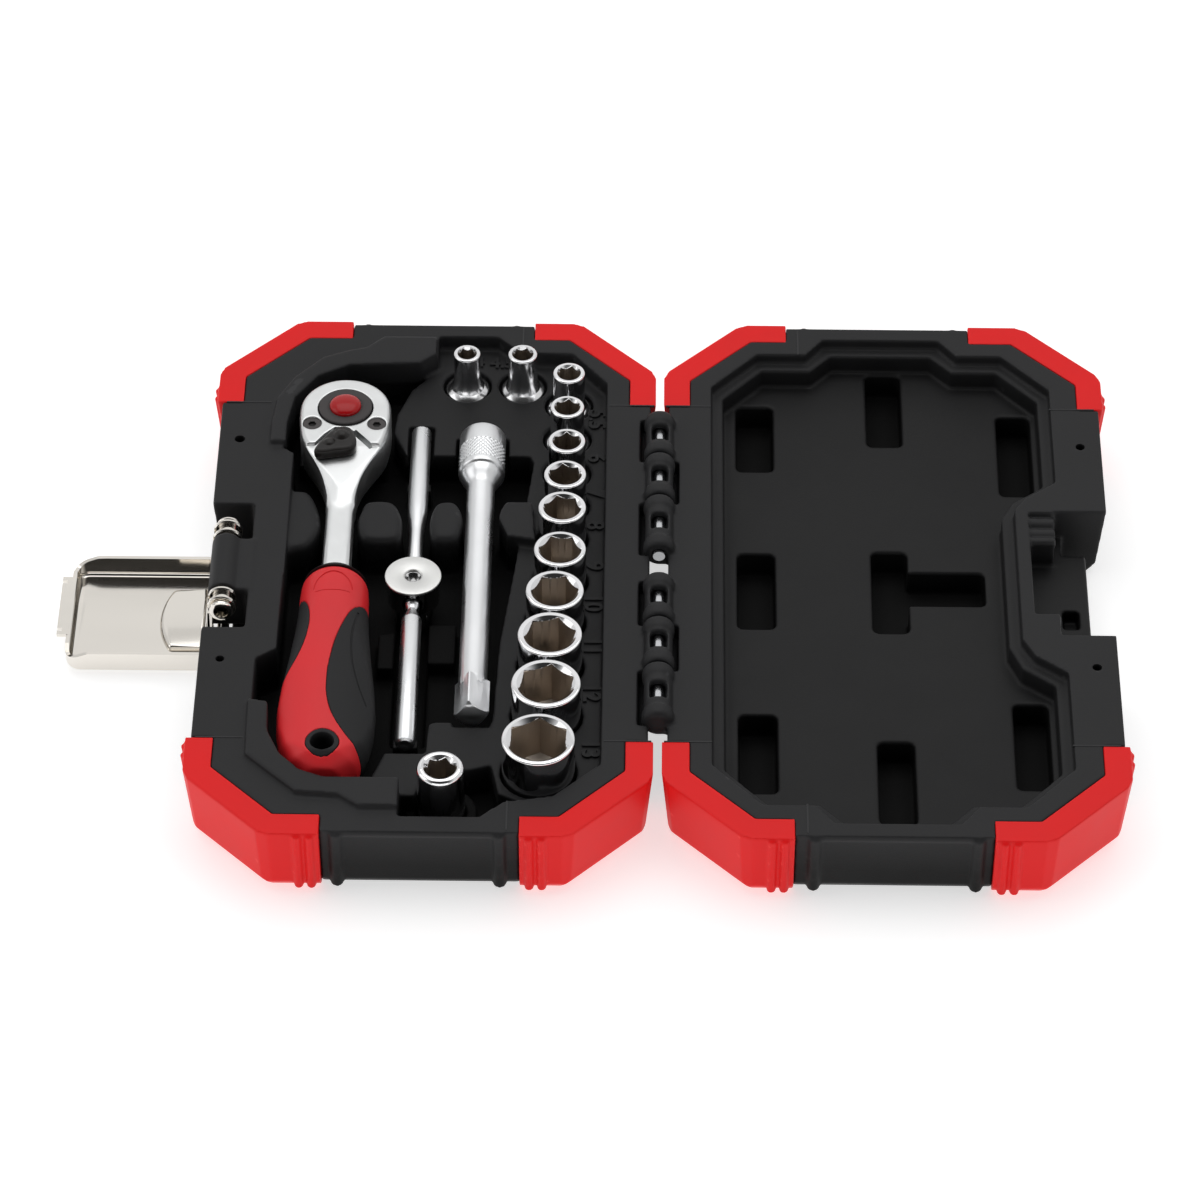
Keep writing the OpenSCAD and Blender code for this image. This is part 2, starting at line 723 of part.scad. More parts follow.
// thumb lever with two rounded bumps, turned to its left stop
module reversing_lever() {
  color(rubber_black) place()
  translate([lever_x, lever_y, 0]) rotate([0, 0, 215])
  union() {
    translate([0, 0, 23]) cylinder(r = 3.4, h = 3.2);
    translate([0, 0, 24.6]) linear_extrude(1.8)
      polygon([
        [-2.4, -2.4], [2, -3.3], [7.2, -2.5], [8.6, -1.2], [8.6, 1.2], [7.2, 2.5],
        [2, 3.3], [-2.4, 2.4]
      ]);
    intersection() {
      union() {
        translate([5.6, 0, 25.6]) sphere(r = 1.9);
        translate([0.4, 0, 25.4]) sphere(r = 2.2);
      }
      translate([-4, -4, 24.6]) cube([14, 8, 6]);
    }
    translate([0, 0, 16]) cylinder(r = spindle_r, h = 8);
  }
}

// pawl that rocks round the lever spindle, just clear of the gear
module ratchet_pawl() {
  color(steel) place()
  translate([lever_x, lever_y, 16])
  difference() {
    cylinder(r = 3.6, h = 4.8);
    translate([0, 0, -1]) cylinder(r = spindle_r + clearance, h = 8);
    translate([-6, -12, -1]) cube([12, 11.4, 8]);
  }
}

// outer form of the grip: a waisted body flattened above and below
module grip_form(shrink) {
  intersection() {
    translate([head_x, 0, grip_z]) rotate([90, 0, 0]) rotate_extrude()
      polygon([
        [0, 3.2], [7.2 - shrink, 3.2], [8.3 - shrink, 5], [8.6 - shrink, 9],
        [8.7 - shrink, 15], [9.2 - shrink, 22], [10.2 - shrink, 32], [11.4 - shrink, 42],
        [12 - shrink, 50], [11.8 - shrink, 57], [10.6 - shrink, 64], [8.4 - shrink, 69],
        [5 - shrink * 0.8, 72], [0, 73 - shrink]
      ]);
    translate([head_x, 10, grip_z - 7.5])
      rotate([90, 0, 0]) cylinder(r = 16 - shrink, h = 100);
    translate([head_x, 10, grip_z + 7.5])
      rotate([90, 0, 0]) cylinder(r = 16 - shrink, h = 100);
  }
}

// plan outlines of the two soft inlays
module inlay_plan(side) {
  if (side > 0)
    polygon([
      [-66, -12], [-71.6, -13.5], [-75.5, -20], [-78.3, -29], [-79.6, -38], [-79, -46],
      [-76.5, -53], [-72.5, -59.5], [-68, -66], [-60, -66], [-60, -12]
    ]);
  else
    polygon([
      [-96, -11], [-89, -11], [-86.2, -16], [-85.4, -23], [-86.4, -31], [-89, -38],
      [-93, -44], [-100, -44], [-100, -11]
    ]);
}

module inlay_cut(side) {
  difference() {
    translate([0, 0, -10]) linear_extrude(60) inlay_plan(side);
    grip_form(2);
  }
}

module ratchet_handle() {
  color(guard_red) place()
  difference() {
    grip_form(0);
    inlay_cut(1);
    inlay_cut(-1);
    tang();
    translate([head_x, hang_y, -10]) cylinder(r = hang_bush_r, h = 60);
  }
}

module grip_right() {
  color(rubber_black) place() intersection() { grip_form(0); inlay_cut(1); }
}

module grip_left() {
  color(rubber_black) place() intersection() { grip_form(0); inlay_cut(-1); }
}

module handle_collar() {
  color(rubber_black) place()
  difference() {
    intersection() {
      translate([head_x, -3.2, grip_z]) rotate([-90, 0, 0]) cylinder(r1 = 8, r2 = 6, h = 2.6);
      translate([head_x, 10, grip_z - 7.5]) rotate([90, 0, 0]) cylinder(r = 15.2, h = 100);
      translate([head_x, 10, grip_z + 7.5]) rotate([90, 0, 0]) cylinder(r = 15.2, h = 100);
    }
    tang();
  }
}

// black bush round the hanging hole
module hang_ring() {
  color(rubber_black) place()
  intersection() {
    difference() {
      translate([head_x, hang_y, -10]) cylinder(r = hang_bush_r, h = 60);
      translate([head_x, hang_y, -10]) cylinder(r = 2.9, h = 60);
    }
    grip_form(0);
  }
}

// ---------- sliding bar ----------

module sliding_bar() {
  color(chrome) place()
  translate([bar_x, 0, bar_z]) rotate([90, 0, 0]) rotate_extrude()
    polygon([
      [0, -56], [bar_r - 0.7, -56], [bar_r, -55.3], [bar_r, -24], [1.8, -20.5], [1.8, 11],
      [bar_r, 14.5], [bar_r, 57], [bar_r - 0.9, 58.4], [0, 58.4]
    ]);
}

module t_head() {
  color(chrome) place()
  translate([bar_x, t_head_y, 0])
  difference() {
    union() {
      translate([0, 0, 12.2]) cylinder(r = 7, h = 8);
      translate([-drive / 2, -drive / 2, 4.2]) cube([drive, drive, 9]);
    }
    translate([0, -10, bar_z]) rotate([-90, 0, 0]) cylinder(r = bar_r + clearance, h = 20);
    translate([0, 0, 17]) cylinder(r = 2, h = 10);
    translate([0.2, 0, 7.6]) rotate([0, 90, 0]) cylinder(r = ball_room_r, h = 5);
  }
}

module t_head_ball() {
  color(steel) place() translate([bar_x + ball_offset, t_head_y, 7.6]) sphere(r = ball_r);
}

// ---------- extension bar ----------

module extension_bar() {
  color(chrome) place()
  translate([ext_x, 0, ext_z])
  difference() {
    union() {
      rotate([90, 0, 0]) rotate_extrude()
        polygon([
          [0, -52], [5.2, -52], [5.9, -51.2], [5.9, -38], [5.5, -37.2], [shank_r, -31.5],
          [shank_r, 39.5], [3.2, 40.4], [0, 40.4]
        ]);
      rotate([0, ext_turn, 0]) translate([-drive / 2, -48.6, -drive / 2]) cube([drive, 10, drive]);
      rotate([0, ext_turn, 0]) translate([-2.5, -49.8, -2.5]) cube([5, 3, 5]);
    }
    rotate([0, ext_turn, 0]) translate([-3.2, 44, -3.2]) cube([6.4, 10, 6.4]);
    rotate([0, ext_turn, 0]) translate([0.2, ball_y, 0]) rotate([0, 90, 0]) cylinder(r = ball_room_r, h = 5);
  }
}

module extension_ball() {
  color(steel) place()
  translate([ext_x, 0, ext_z]) rotate([0, ext_turn, 0])
    translate([ball_offset, ball_y, 0]) sphere(r = ball_r);
}

// ---------- sockets ----------

// square hole in a drive end
module drive_hole() {
  side = 6.4;
  translate([-side / 2, -side / 2, -1]) cube([side, side, 9]);
}

// depth of the hexagon in a socket of the given size
function hex_depth(af) = min(12, 5 + af * 0.8);

// one socket standing on its drive end, mouth upward
module socket(i) {
  s = socket_list[i];
  af = s[0] + 0.1;
  r = s[1] / 2;
  rd = s[2] / 2;
  h_low = socket_len - 11.5;
  slim = r < rd;
  h_top = slim ? h_low + (rd - r) * 1.6 + 0.4 : socket_len - 15;
  hex_r = af / sqrt(3);
  color(chrome) place()
  translate([s[3], s[4], well_z])
  difference() {
    rotate_extrude()
      polygon(slim ? [
        [0, 0], [rd - 0.5, 0], [rd, 0.5], [rd, h_low], [r, h_top], [r, socket_len - 0.3],
        [r - 0.3, socket_len], [0, socket_len]
      ] : (rd < r ? [
        [0, 0], [rd - 0.5, 0], [rd, 0.5], [rd, h_top - 3], [r, h_top - 2.4],
        [r, socket_len - 0.4], [r - 0.4, socket_len], [0, socket_len]
      ] : [
        [0, 0], [rd - 0.5, 0], [rd, 0.5], [rd, h_top], [r, socket_len - 0.4],
        [r - 0.4, socket_len], [0, socket_len]
      ]));
    translate([0, 0, socket_len - hex_depth(s[0])])
      rotate([0, 0, 8 * i]) cylinder(r = hex_r, h = 30, $fn = 6);
    translate([0, 0, socket_len - 0.9])
      cylinder(r1 = af / 2, r2 = min(hex_r + 0.3, r - 0.5), h = 0.92);
    drive_hole();
    translate([0, 0, 5]) cylinder(r = min(3, af / 2 - 0.15), h = 15);
  }
}

module socket_4() { socket(0); }
module socket_4_5() { socket(1); }
module socket_5() { socket(2); }
module socket_5_5() { socket(3); }
module socket_6() { socket(4); }
module socket_7() { socket(5); }
module socket_8() { socket(6); }
module socket_9() { socket(7); }
module socket_10() { socket(8); }
module socket_11() { socket(9); }
module socket_12() { socket(10); }
module socket_13() { socket(11); }

// coupler with a hexagon mouth for quarter-inch bits
module bit_adapter() {
  color(chrome) place()
  translate([adapter_x, adapter_y, well_z])
  difference() {
    rotate_extrude()
      polygon([
        [0, 0], [5.2, 0], [adapter_r, 0.5], [adapter_r, socket_len - 1.5],
        [adapter_r - 0.4, socket_len - 1], [0, socket_len - 1]
      ]);
    translate([0, 0, 12]) rotate([0, 0, 12]) cylinder(r = 6.5 / sqrt(3), h = 30, $fn = 6);
    translate([0, 0, socket_len - 1.9]) cylinder(r1 = 3.2, r2 = 4.3, h = 0.92);
    drive_hole();
    translate([0, 0, 5]) cylinder(r = 2.5, h = 10);
  }
}

base_shell();
lid_shell();
guard_base_rear_outer();
guard_base_rear_inner();
guard_base_front_outer();
guard_base_front_inner();
guard_lid_rear_outer();
guard_lid_rear_inner();
guard_lid_front_outer();
guard_lid_front_inner();
hinge_pin_rear();
hinge_pin_front();
latch_pin();
latch_link();
latch_plate();
latch_plate_pin();
ratchet_body();
ratchet_screw_left();
ratchet_screw_right();
drive_gear();
drive_square();
drive_ball();
release_button();
reversing_lever();
ratchet_pawl();
ratchet_handle();
grip_left();
grip_right();
handle_collar();
hang_ring();
sliding_bar();
t_head();
t_head_ball();
extension_bar();
extension_ball();
socket_4();
socket_4_5();
socket_5();
socket_5_5();
socket_6();
socket_7();
socket_8();
socket_9();
socket_10();
socket_11();
socket_12();
socket_13();
bit_adapter();
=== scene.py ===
"""Looks for an open tool case with a quarter-inch socket set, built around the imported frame.

Lengths in this file are millimetres, measured from the middle of the hinge line, unless a name
ends in _m. at() turns such a place into a point of the row frame, in metres.
"""

import json
import math

import bmesh
import bpy
from mathutils import Matrix, Vector
from mathutils.bvhtree import BVHTree


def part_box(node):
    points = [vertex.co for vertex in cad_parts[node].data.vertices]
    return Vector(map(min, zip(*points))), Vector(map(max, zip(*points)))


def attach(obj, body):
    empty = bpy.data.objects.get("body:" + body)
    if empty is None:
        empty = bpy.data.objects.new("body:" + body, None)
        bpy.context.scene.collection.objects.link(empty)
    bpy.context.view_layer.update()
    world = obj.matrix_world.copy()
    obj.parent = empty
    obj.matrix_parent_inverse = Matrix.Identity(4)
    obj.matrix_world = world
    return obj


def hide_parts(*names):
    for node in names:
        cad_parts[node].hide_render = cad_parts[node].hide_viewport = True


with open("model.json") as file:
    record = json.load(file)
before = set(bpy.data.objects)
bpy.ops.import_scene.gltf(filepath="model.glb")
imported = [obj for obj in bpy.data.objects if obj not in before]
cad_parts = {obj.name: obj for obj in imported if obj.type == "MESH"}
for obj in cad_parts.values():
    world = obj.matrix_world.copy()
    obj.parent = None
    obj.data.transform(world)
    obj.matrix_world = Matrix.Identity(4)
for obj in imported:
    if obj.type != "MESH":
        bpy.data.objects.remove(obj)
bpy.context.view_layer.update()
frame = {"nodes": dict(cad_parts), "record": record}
nodes = frame["nodes"]

MM = 0.001
pin_low, pin_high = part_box("hinge_pin_rear")
HINGE_X = (pin_low.x + pin_high.x) / 2 / MM
HINGE_Z = (pin_low.z + pin_high.z) / 2 / MM
RIM_Z = HINGE_Z - 0.1


def at(x, y, z):
    """A place given from the hinge line, as a point in the row frame."""
    return Vector(((HINGE_X + x) * MM, y * MM, z * MM))


# ---- materials

def node(tree, kind, **inputs):
    made = tree.nodes.new(kind)
    for name, value in inputs.items():
        made.inputs[name].default_value = value
    return made


def link(source, output, target, into):
    source.id_data.links.new(source.outputs[output], target.inputs[into])


def ramp(tree, source, stops):
    """A colour ramp on a grey source: stops are (position, grey level)."""
    made = tree.nodes.new("ShaderNodeValToRGB")
    made.color_ramp.elements[0].position = stops[0][0]
    made.color_ramp.elements[1].position = stops[-1][0]
    for position, _ in stops[1:-1]:
        made.color_ramp.elements.new(position)
    for element, (_, level) in zip(made.color_ramp.elements, stops):
        element.color = (level, level, level, 1)
    tree.links.new(source, made.inputs["Fac"])
    return made.outputs["Color"]


def color_mix(tree, factor=None):
    made = tree.nodes.new("ShaderNodeMix")
    made.data_type = "RGBA"
    if factor:
        tree.links.new(factor, made.inputs["Factor"])
    return made


def scaled(tree, value, low, high, to_low, to_high):
    """Maps a value from low..high to to_low..to_high."""
    made = tree.nodes.new("ShaderNodeMapRange")
    limits = {"From Min": low, "From Max": high, "To Min": to_low, "To Max": to_high}
    for name, number in limits.items():
        made.inputs[name].default_value = number
    tree.links.new(value, made.inputs["Value"])
    return made


def material(
    name, color, rough, tint=0.25, metallic=0.0, grain=(1500, 0.03), stretch=(1, 1, 1),
    edge_wear_and_sheen=None, specular=0.5, patch=45, depth=None,
):
    """A surface with fine grain, uneven gloss and slightly uneven colour.

    rough is its lowest and highest roughness, grain the grain's scale and height in mm,
    stretch draws the grain out along one axis, and wear is the colour of sharp edges: partly
    worn edges and partly a painted highlight along them.
    depth is (low, high, share), painted shade for recesses: below the height low, in mm,
    the colour keeps only that share.
    """
    made = bpy.data.materials.new(name)
    made.use_nodes = True
    tree = made.node_tree
    shader = tree.nodes["Principled BSDF"]
    shader.inputs["Metallic"].default_value = metallic
    shader.inputs["Specular IOR Level"].default_value = specular
    place = tree.nodes.new("ShaderNodeTexCoord")
    spread = node(tree, "ShaderNodeMapping", Scale=stretch)
    link(place, "Object", spread, "Vector")

    fine = node(tree, "ShaderNodeTexNoise", Scale=grain[0], Detail=3.0, Roughness=0.6)
    link(spread, "Vector", fine, "Vector")
    broad = node(tree, "ShaderNodeTexNoise", Scale=patch, Detail=4.0, Roughness=0.55)
    link(spread, "Vector", broad, "Vector")

    bump = node(tree, "ShaderNodeBump", Strength=0.6, Distance=grain[1] * MM)
    link(fine, "Fac", bump, "Height")
    link(bump, "Normal", shader, "Normal")

    gloss = scaled(tree, broad.outputs["Fac"], 0.3, 0.7, *rough)
    link(gloss, "Result", shader, "Roughness")

    shade = color_mix(tree, ramp(tree, broad.outputs["Fac"], [(0.25, 0), (0.75, 1)]))
    dark = [c * (1 - tint) for c in color]
    light = [min(1, c * (1 + tint * 0.6)) for c in color]
    shade.inputs["A"].default_value = (*dark, 1)
    shade.inputs["B"].default_value = (*light, 1)
    result = shade.outputs["Result"]
    # sharp edges get a lighter colour: partly worn edges, partly a painted highlight
    if edge_wear_and_sheen:
        shape = tree.nodes.new("ShaderNodeNewGeometry")
        edge = ramp(tree, shape.outputs["Pointiness"], [(0.52, 0), (0.59, 0.6)])
        worn_and_sheen_edge = color_mix(tree, edge)
        worn_and_sheen_edge.inputs["B"].default_value = (*edge_wear_and_sheen, 1)
        tree.links.new(result, worn_and_sheen_edge.inputs["A"])
        result = worn_and_sheen_edge.outputs["Result"]
    # painted shade: the colour grows darker lower down, towards the bottom of recesses
    if depth:
        low, high, share = depth
        height = tree.nodes.new("ShaderNodeSeparateXYZ")
        link(place, "Object", height, "Vector")
        sink = scaled(tree, height.outputs["Z"], low * MM, high * MM, share, 1.0)
        deep = color_mix(tree)
        deep.blend_type = "MULTIPLY"
        deep.inputs["Factor"].default_value = 1.0
        tree.links.new(result, deep.inputs[6])
        link(sink, "Result", deep, 7)
        result = deep.outputs[2]
    tree.links.new(result, shader.inputs["Base Color"])
    return made


def metal(name, color, rough, grain, tint=0.05, **more):
    return material(name, color, rough, tint, 1.0, grain, **more)


MATERIALS = {
    # the case is darker below the rim, a painted shade, and lighter on sharp edges, partly worn and
    # partly a painted highlight
    "case_plastic": material(
        "moulded_case", (0.019, 0.019, 0.020), (0.46, 0.58), grain=(1900, 0.05),
        edge_wear_and_sheen=(0.045, 0.045, 0.047), specular=0.19, depth=(8, 21.5, 0.10),
    ),
    # darker, duller copy of the case plastic for the deep walls and floors of the tray: painted
    # shade
    "well_shade_plastic": material(
        "painted_well_shade", (0.006, 0.006, 0.006), (0.6, 0.7), grain=(1900, 0.05), specular=0.06,
    ),
    "guard_plastic": material(
        "moulded_guard", (0.80, 0.009, 0.010), (0.38, 0.48), tint=0.05, grain=(1300, 0.02),
        edge_wear_and_sheen=(0.88, 0.05, 0.045), specular=0.17,
    ),
    "hinge_steel": metal(
        "drawn_wire", (0.62, 0.63, 0.65), (0.16, 0.30), (700, 0.01), 0.1, stretch=(1, 0.05, 1),
    ),
    "latch_nickel": metal(
        "nickel_plate", (0.79, 0.755, 0.70), (0.07, 0.15), (500, 0.004), stretch=(0.2, 1, 1),
    ),
    "tool_chrome": metal("satin_chrome", (0.80, 0.81, 0.82), (0.24, 0.34), (2200, 0.012)),
    "forged_chrome": metal(
        "forged_chrome", (0.72, 0.73, 0.73), (0.30, 0.38), (2600, 0.02), patch=120,
    ),
    "head_chrome": metal("blasted_chrome", (0.68, 0.68, 0.665), (0.32, 0.40), (4200, 0.03)),
    "bright_chrome": metal("bright_chrome", (0.62, 0.62, 0.62), (0.08, 0.16), (900, 0.003), 0.04),
    "small_chrome": metal("rolled_chrome", (0.80, 0.80, 0.81), (0.15, 0.21), (900, 0.003), 0.04),
    "socket_bore": metal(
        "broached_bore", (0.56, 0.50, 0.44), (0.30, 0.42), (900, 0.01), 0.15, stretch=(1, 1, 0.06),
    ),
    "socket_chrome": metal(
        "polished_chrome", (0.86, 0.86, 0.87), (0.06, 0.13), (900, 0.003), 0.04,
    ),
    "black_steel": material(
        "blackened_steel", (0.027, 0.025, 0.025), (0.46, 0.58), grain=(1600, 0.02),
        edge_wear_and_sheen=(0.10, 0.09, 0.09), specular=0.25,
    ),
    "lever_black": material(
        "lever_coat", (0.012, 0.010, 0.009), (0.30, 0.40), grain=(1500, 0.02), specular=0.3,
    ),
    "grip_red": material(
        "handle_red", (0.72, 0.020, 0.026), (0.38, 0.50), tint=0.06, grain=(2400, 0.02),
        specular=0.3,
    ),
    "grip_rubber": material(
        "soft_grip", (0.020, 0.020, 0.021), (0.58, 0.72), grain=(2600, 0.04), specular=0.2,
    ),
    "button_red": material(
        "button_red", (0.40, 0.004, 0.006), (0.16, 0.24), tint=0.1, grain=(900, 0.01),
        specular=0.3,
    ),
}

# every CAD node takes the material of its slot
for part in frame["record"]["subparts"]:
    shown = nodes[part["node"]]
    shown.data.materials.clear()
    shown.data.materials.append(MATERIALS[part["material_slot"]])


# ---- mesh tools

def add_object(name, data):
    made = bpy.data.objects.new(name, data)
    bpy.context.scene.collection.objects.link(made)
    return made


def from_bmesh(name, bm):
    bmesh.ops.recalc_face_normals(bm, faces=bm.faces)
    data = bpy.data.meshes.new(name)
    bm.to_mesh(data)
    bm.free()
    return add_object(name, data)


def baked(shape):
    graph = bpy.context.evaluated_depsgraph_get()
    return bpy.data.meshes.new_from_object(shape.evaluated_get(graph))


def applied(shape):
    """Bakes the modifiers of an object into its mesh."""
    data = baked(shape)
    shape.modifiers.clear()
    shape.data = data
    return shape


def copy_of(node_name, name):
    """A loose copy of a CAD node's mesh with its split corners welded."""
    shape = add_object(name, nodes[node_name].data.copy())
    weld = shape.modifiers.new("weld", "WELD")
    weld.merge_threshold = 0.001 * MM
    shape.data.materials.clear()
    return applied(shape)


def skin(bm, rings):
    """Faces between each ring and the next, and over both ends."""
    count = len(rings[0])
    for lower, upper in zip(rings, rings[1:]):
        for i in range(count):
            j = (i + 1) % count
            bm.faces.new((lower[i], lower[j], upper[j], upper[i]))
    bm.faces.new(rings[0][::-1])
    bm.faces.new(rings[-1])


def prism(name, outline, low, high):
    """Upright block over an outline of (x, y) places."""
    return tapered(name, [(outline, low), (outline, high)])


def tapered(name, layers):
    """Solid through outlines at rising heights, all with the same count of points."""
    bm = bmesh.new()
    skin(bm, [[bm.verts.new(at(x, y, z)) for x, y in outline] for outline, z in layers])
    return from_bmesh(name, bm)


def span(side, near, far):
    """Two distances from the middle, on one side of it, as low and high."""
    return sorted((side * near, side * far))


def block(name, low, high):
    (x0, y0, z0), (x1, y1, z1) = low, high
    return prism(name, [(x0, y0), (x1, y0), (x1, y1), (x0, y1)], z0, z1)


def lathe(name, profile, centre, along="z", around=96, shape=None):
    """Turned solid: profile is (radius, distance along the axis), from one end to the other.

    shape(angle, radius, distance) may change the radius, as knurling does.
    """
    bm = bmesh.new()
    rings = []
    for radius, distance in profile:
        ring = []
        for i in range(around):
            angle = 2 * math.pi * i / around
            r = shape(angle, radius, distance) if shape else radius
            a, b = r * math.cos(angle), r * math.sin(angle)
            offset = {"z": (a, b, distance), "y": (b, distance, a), "x": (distance, a, b)}[along]
            ring.append(bm.verts.new(at(*[c + o for c, o in zip(centre, offset)])))
        rings.append(ring)
    skin(bm, rings)
    return from_bmesh(name, bm)


def cube(name, half, matrix):
    bm = bmesh.new()
    bmesh.ops.create_cube(bm, size=2 * half * MM)
    bmesh.ops.transform(bm, matrix=matrix, verts=bm.verts)
    return from_bmesh(name, bm)


def ball(name, centre, radius):
    bm = bmesh.new()
    bmesh.ops.create_uvsphere(bm, u_segments=32, v_segments=20, radius=radius * MM)
    bmesh.ops.translate(bm, verts=bm.verts, vec=at(*centre))
    return from_bmesh(name, bm)


def tube(name, points, radius, sides=10):
    """Closed tube through points of the row frame."""
    bm = bmesh.new()
    rings = []
    for i, point in enumerate(points):
        ahead = points[min(i + 1, len(points) - 1)] - points[max(i - 1, 0)]
        side = ahead.cross(Vector((0, 0, 1))).normalized()
        over = side.cross(ahead).normalized()
        ring = []
        for k in range(sides):
            angle = 2 * math.pi * k / sides
            spoke = side * math.cos(angle) + over * math.sin(angle)
            ring.append(bm.verts.new(point + spoke * radius * MM))
        rings.append(ring)
    skin(bm, rings)
    return from_bmesh(name, bm)


def boolean(shape, operation, *tools):
    """Cuts or adds the tools, which are used up."""
    for tool in tools:
        step = shape.modifiers.new("step", "BOOLEAN")
        step.operation = operation
        step.solver = "EXACT"
        step.object = tool
        applied(shape)
        bpy.data.objects.remove(tool)
    return shape


def cut(shape, *tools):
    return boolean(shape, "DIFFERENCE", *tools)


def add(shape, *tools):
    return boolean(shape, "UNION", *tools)


def join(shape, *others):
    """Puts other closed shapes into one mesh, to be fused by soften()."""
    bm = bmesh.new()
    for one in (shape, *others):
        bm.from_mesh(one.data)
    bm.to_mesh(shape.data)
    bm.free()
    for one in others:
        bpy.data.objects.remove(one)
    return shape


def soften(shape, voxel, passes, keep=0.35):
    """Fuses and rounds a shape as moulding or forging does, then thins its mesh."""
    fuse = shape.modifiers.new("fuse", "REMESH")
    fuse.mode = "VOXEL"
    fuse.voxel_size = voxel * MM
    smooth = shape.modifiers.new("smooth", "SMOOTH")
    smooth.factor = 0.5
    smooth.iterations = passes
    applied(shape)
    return thin(shape, keep) if keep < 1 else shape


def thin(shape, keep):
    """Thins a mesh to a share of its faces."""
    step = shape.modifiers.new("thin", "DECIMATE")
    step.ratio = keep
    return applied(shape)


def blend(shape, y_low, y_high, passes):
    """Smooths only what lies between two places along y, most in the middle of them."""
    low, high = at(0, y_low, 0).y, at(0, y_high, 0).y
    zone = shape.vertex_groups.new(name="zone")
    for vertex in shape.data.vertices:
        t = (vertex.co.y - low) / (high - low)
        if 0 < t < 1:
            zone.add([vertex.index], math.sin(math.pi * t), "REPLACE")
    smooth = shape.modifiers.new("blend", "SMOOTH")
    smooth.vertex_group = "zone"
    smooth.iterations = passes
    applied(shape)
    shape.vertex_groups.clear()


def finished(shape, body, finish, replaced=(), angle=40, lining=None):
    """Shades a shape, gives it its material and ties it to its body."""
    for face in shape.data.polygons:
        face.use_smooth = True
    shape.data.set_sharp_from_angle(angle=math.radians(angle))
    shape.data.materials.append(MATERIALS[finish])
    if lining:
        shape.data.materials.append(MATERIALS[lining])
    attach(shape, body)
    if replaced:
        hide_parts(*replaced)
    return shape


def arc(cx, cy, radius, start, end, steps):
    """Points on an arc, in degrees."""
    angles = [math.radians(start + (end - start) * i / steps) for i in range(steps + 1)]
    return [(cx + radius * math.cos(a), cy + radius * math.sin(a)) for a in angles]


# ---- case

# size marks beside the sockets: the size, and how far back its mark stands
SIZE_MARKS = [
    ("5.5", 60.5), ("6", 45.5), ("7", 32), ("8", 20), ("9", 5), ("10", -8.5), ("11", -24),
    ("12", -40.5), ("13", -60),
]
MARK_X = -16.2
SHELF_Z = 16.5


# spans of the hinge knuckles along y, and the half that each belongs to
KNUCKLES = [
    (40, 55.5, "lid"), (24.2, 39.6, "base"), (5, 23.8, "lid"), (-20.4, -5, "lid"),
    (-36.6, -20.8, "base"), (-55.5, -37, "lid"),
]
# the floor of the tray, and a height clear of the rim
FLOOR_Z, ABOVE_RIM = 7.0, 25


def finger_rest(outline, top):
    """Cushion-shaped rest standing on the tray's floor."""
    smooth = curve_through(outline, 6)
    layers = [(FLOOR_Z - 1, 0), (top - 1.9, 0), (top - 1.0, 0.3), (top - 0.35, 0.9), (top, 2.0)]
    return tapered("rest", [(inset(smooth, d), z) for z, d in layers])


def finger_rests():
    plans = [
        [(-97, 7.6), (-91, 7.8), (-87.2, 10), (-84.9, 15.8), (-85.6, 22.6), (-88.2, 29), (-92, 30),
         (-97, 30)],
        [(-73.8, 11.8), (-65.6, 11.8), (-64.4, 17.2), (-65, 22), (-67.4, 26), (-73.4, 26),
         (-75, 22.6), (-75.7, 17.6)],
        [(-56.2, 12.4), (-50.9, 12.4), (-49.3, 17.4), (-49.5, 22), (-51.4, 26), (-55.4, 26),
         (-57, 23.2), (-57.6, 17.8)],
    ]
    return [finger_rest(plan, 19.6) for plan in plans]


def seams(side):
    """Faint parting lines across the rim, from the ends of the guards to the tray."""
    low, high = RIM_Z - 0.4, RIM_Z + 0.1
    lines = []
    for s in (1, -1):
        y = s * 61.3
        for near, far in ((1.5, 13), (99.5, 111)):
            x0, x1 = span(side, near, far)
            lines.append(block("seam", (x0, y - 0.18, low), (x1, y + 0.18, high)))
        x0, x1 = span(side, 35.4, 35.8)
        y0, y1 = span(s, 82, 91.6)
        lines.append(block("seam", (x0, y0, low), (x1, y1, high)))
    return lines


def shade_wells(shell, x_low, x_high):
    """Gives the walls and floors deep inside a half a darker, duller copy of the case plastic:
    painted shade.
    """
    shell.data.materials.clear()
    low, high = at(x_low, -88, 0), at(x_high, 88, 11.6)
    for face in shell.data.polygons:
        c = face.center
        inside = low.x < c.x < high.x and low.y < c.y < high.y and 1.5 * MM < c.z < high.z
        face.material_index = int(inside)


def pin_caps():
    """Closed outer ends of the bores for the two hinge pins."""
    caps = []
    profile = [(0.1, 54.9), (3.2, 54.9), (3.2, 55.6), (2.7, 55.95), (0.1, 56)]
    for s in (1, -1):
        sided = [(r, s * y) for r, y in profile]
        caps.append(lathe("cap", sided, (0, 0, HINGE_Z), "y", 32))
    return caps


def collars(half):
    """Raised rings at both ends of each hinge knuckle of one half."""
    rings = []
    for low, high, owner in KNUCKLES:
        if owner != half:
            continue
        for start in (low + 0.4, high - 3.8):
            rings.append(washer("collar", (0, 0, HINGE_Z), 3.95, 2.2, start, start + 3.4, 0.4))
    return rings


def shell_trim(side):
    """Flash line along the mouth of the front and back walls of one half."""
    parts = []
    for s in (1, -1):
        y0, y1 = span(s, 91.9, 92.8)
        x0, x1 = span(side, 38, 75.5)
        parts.append(block("flash", (x0, y0, RIM_Z - 1.5), (x1, y1, RIM_Z - 0.5)))
    return parts


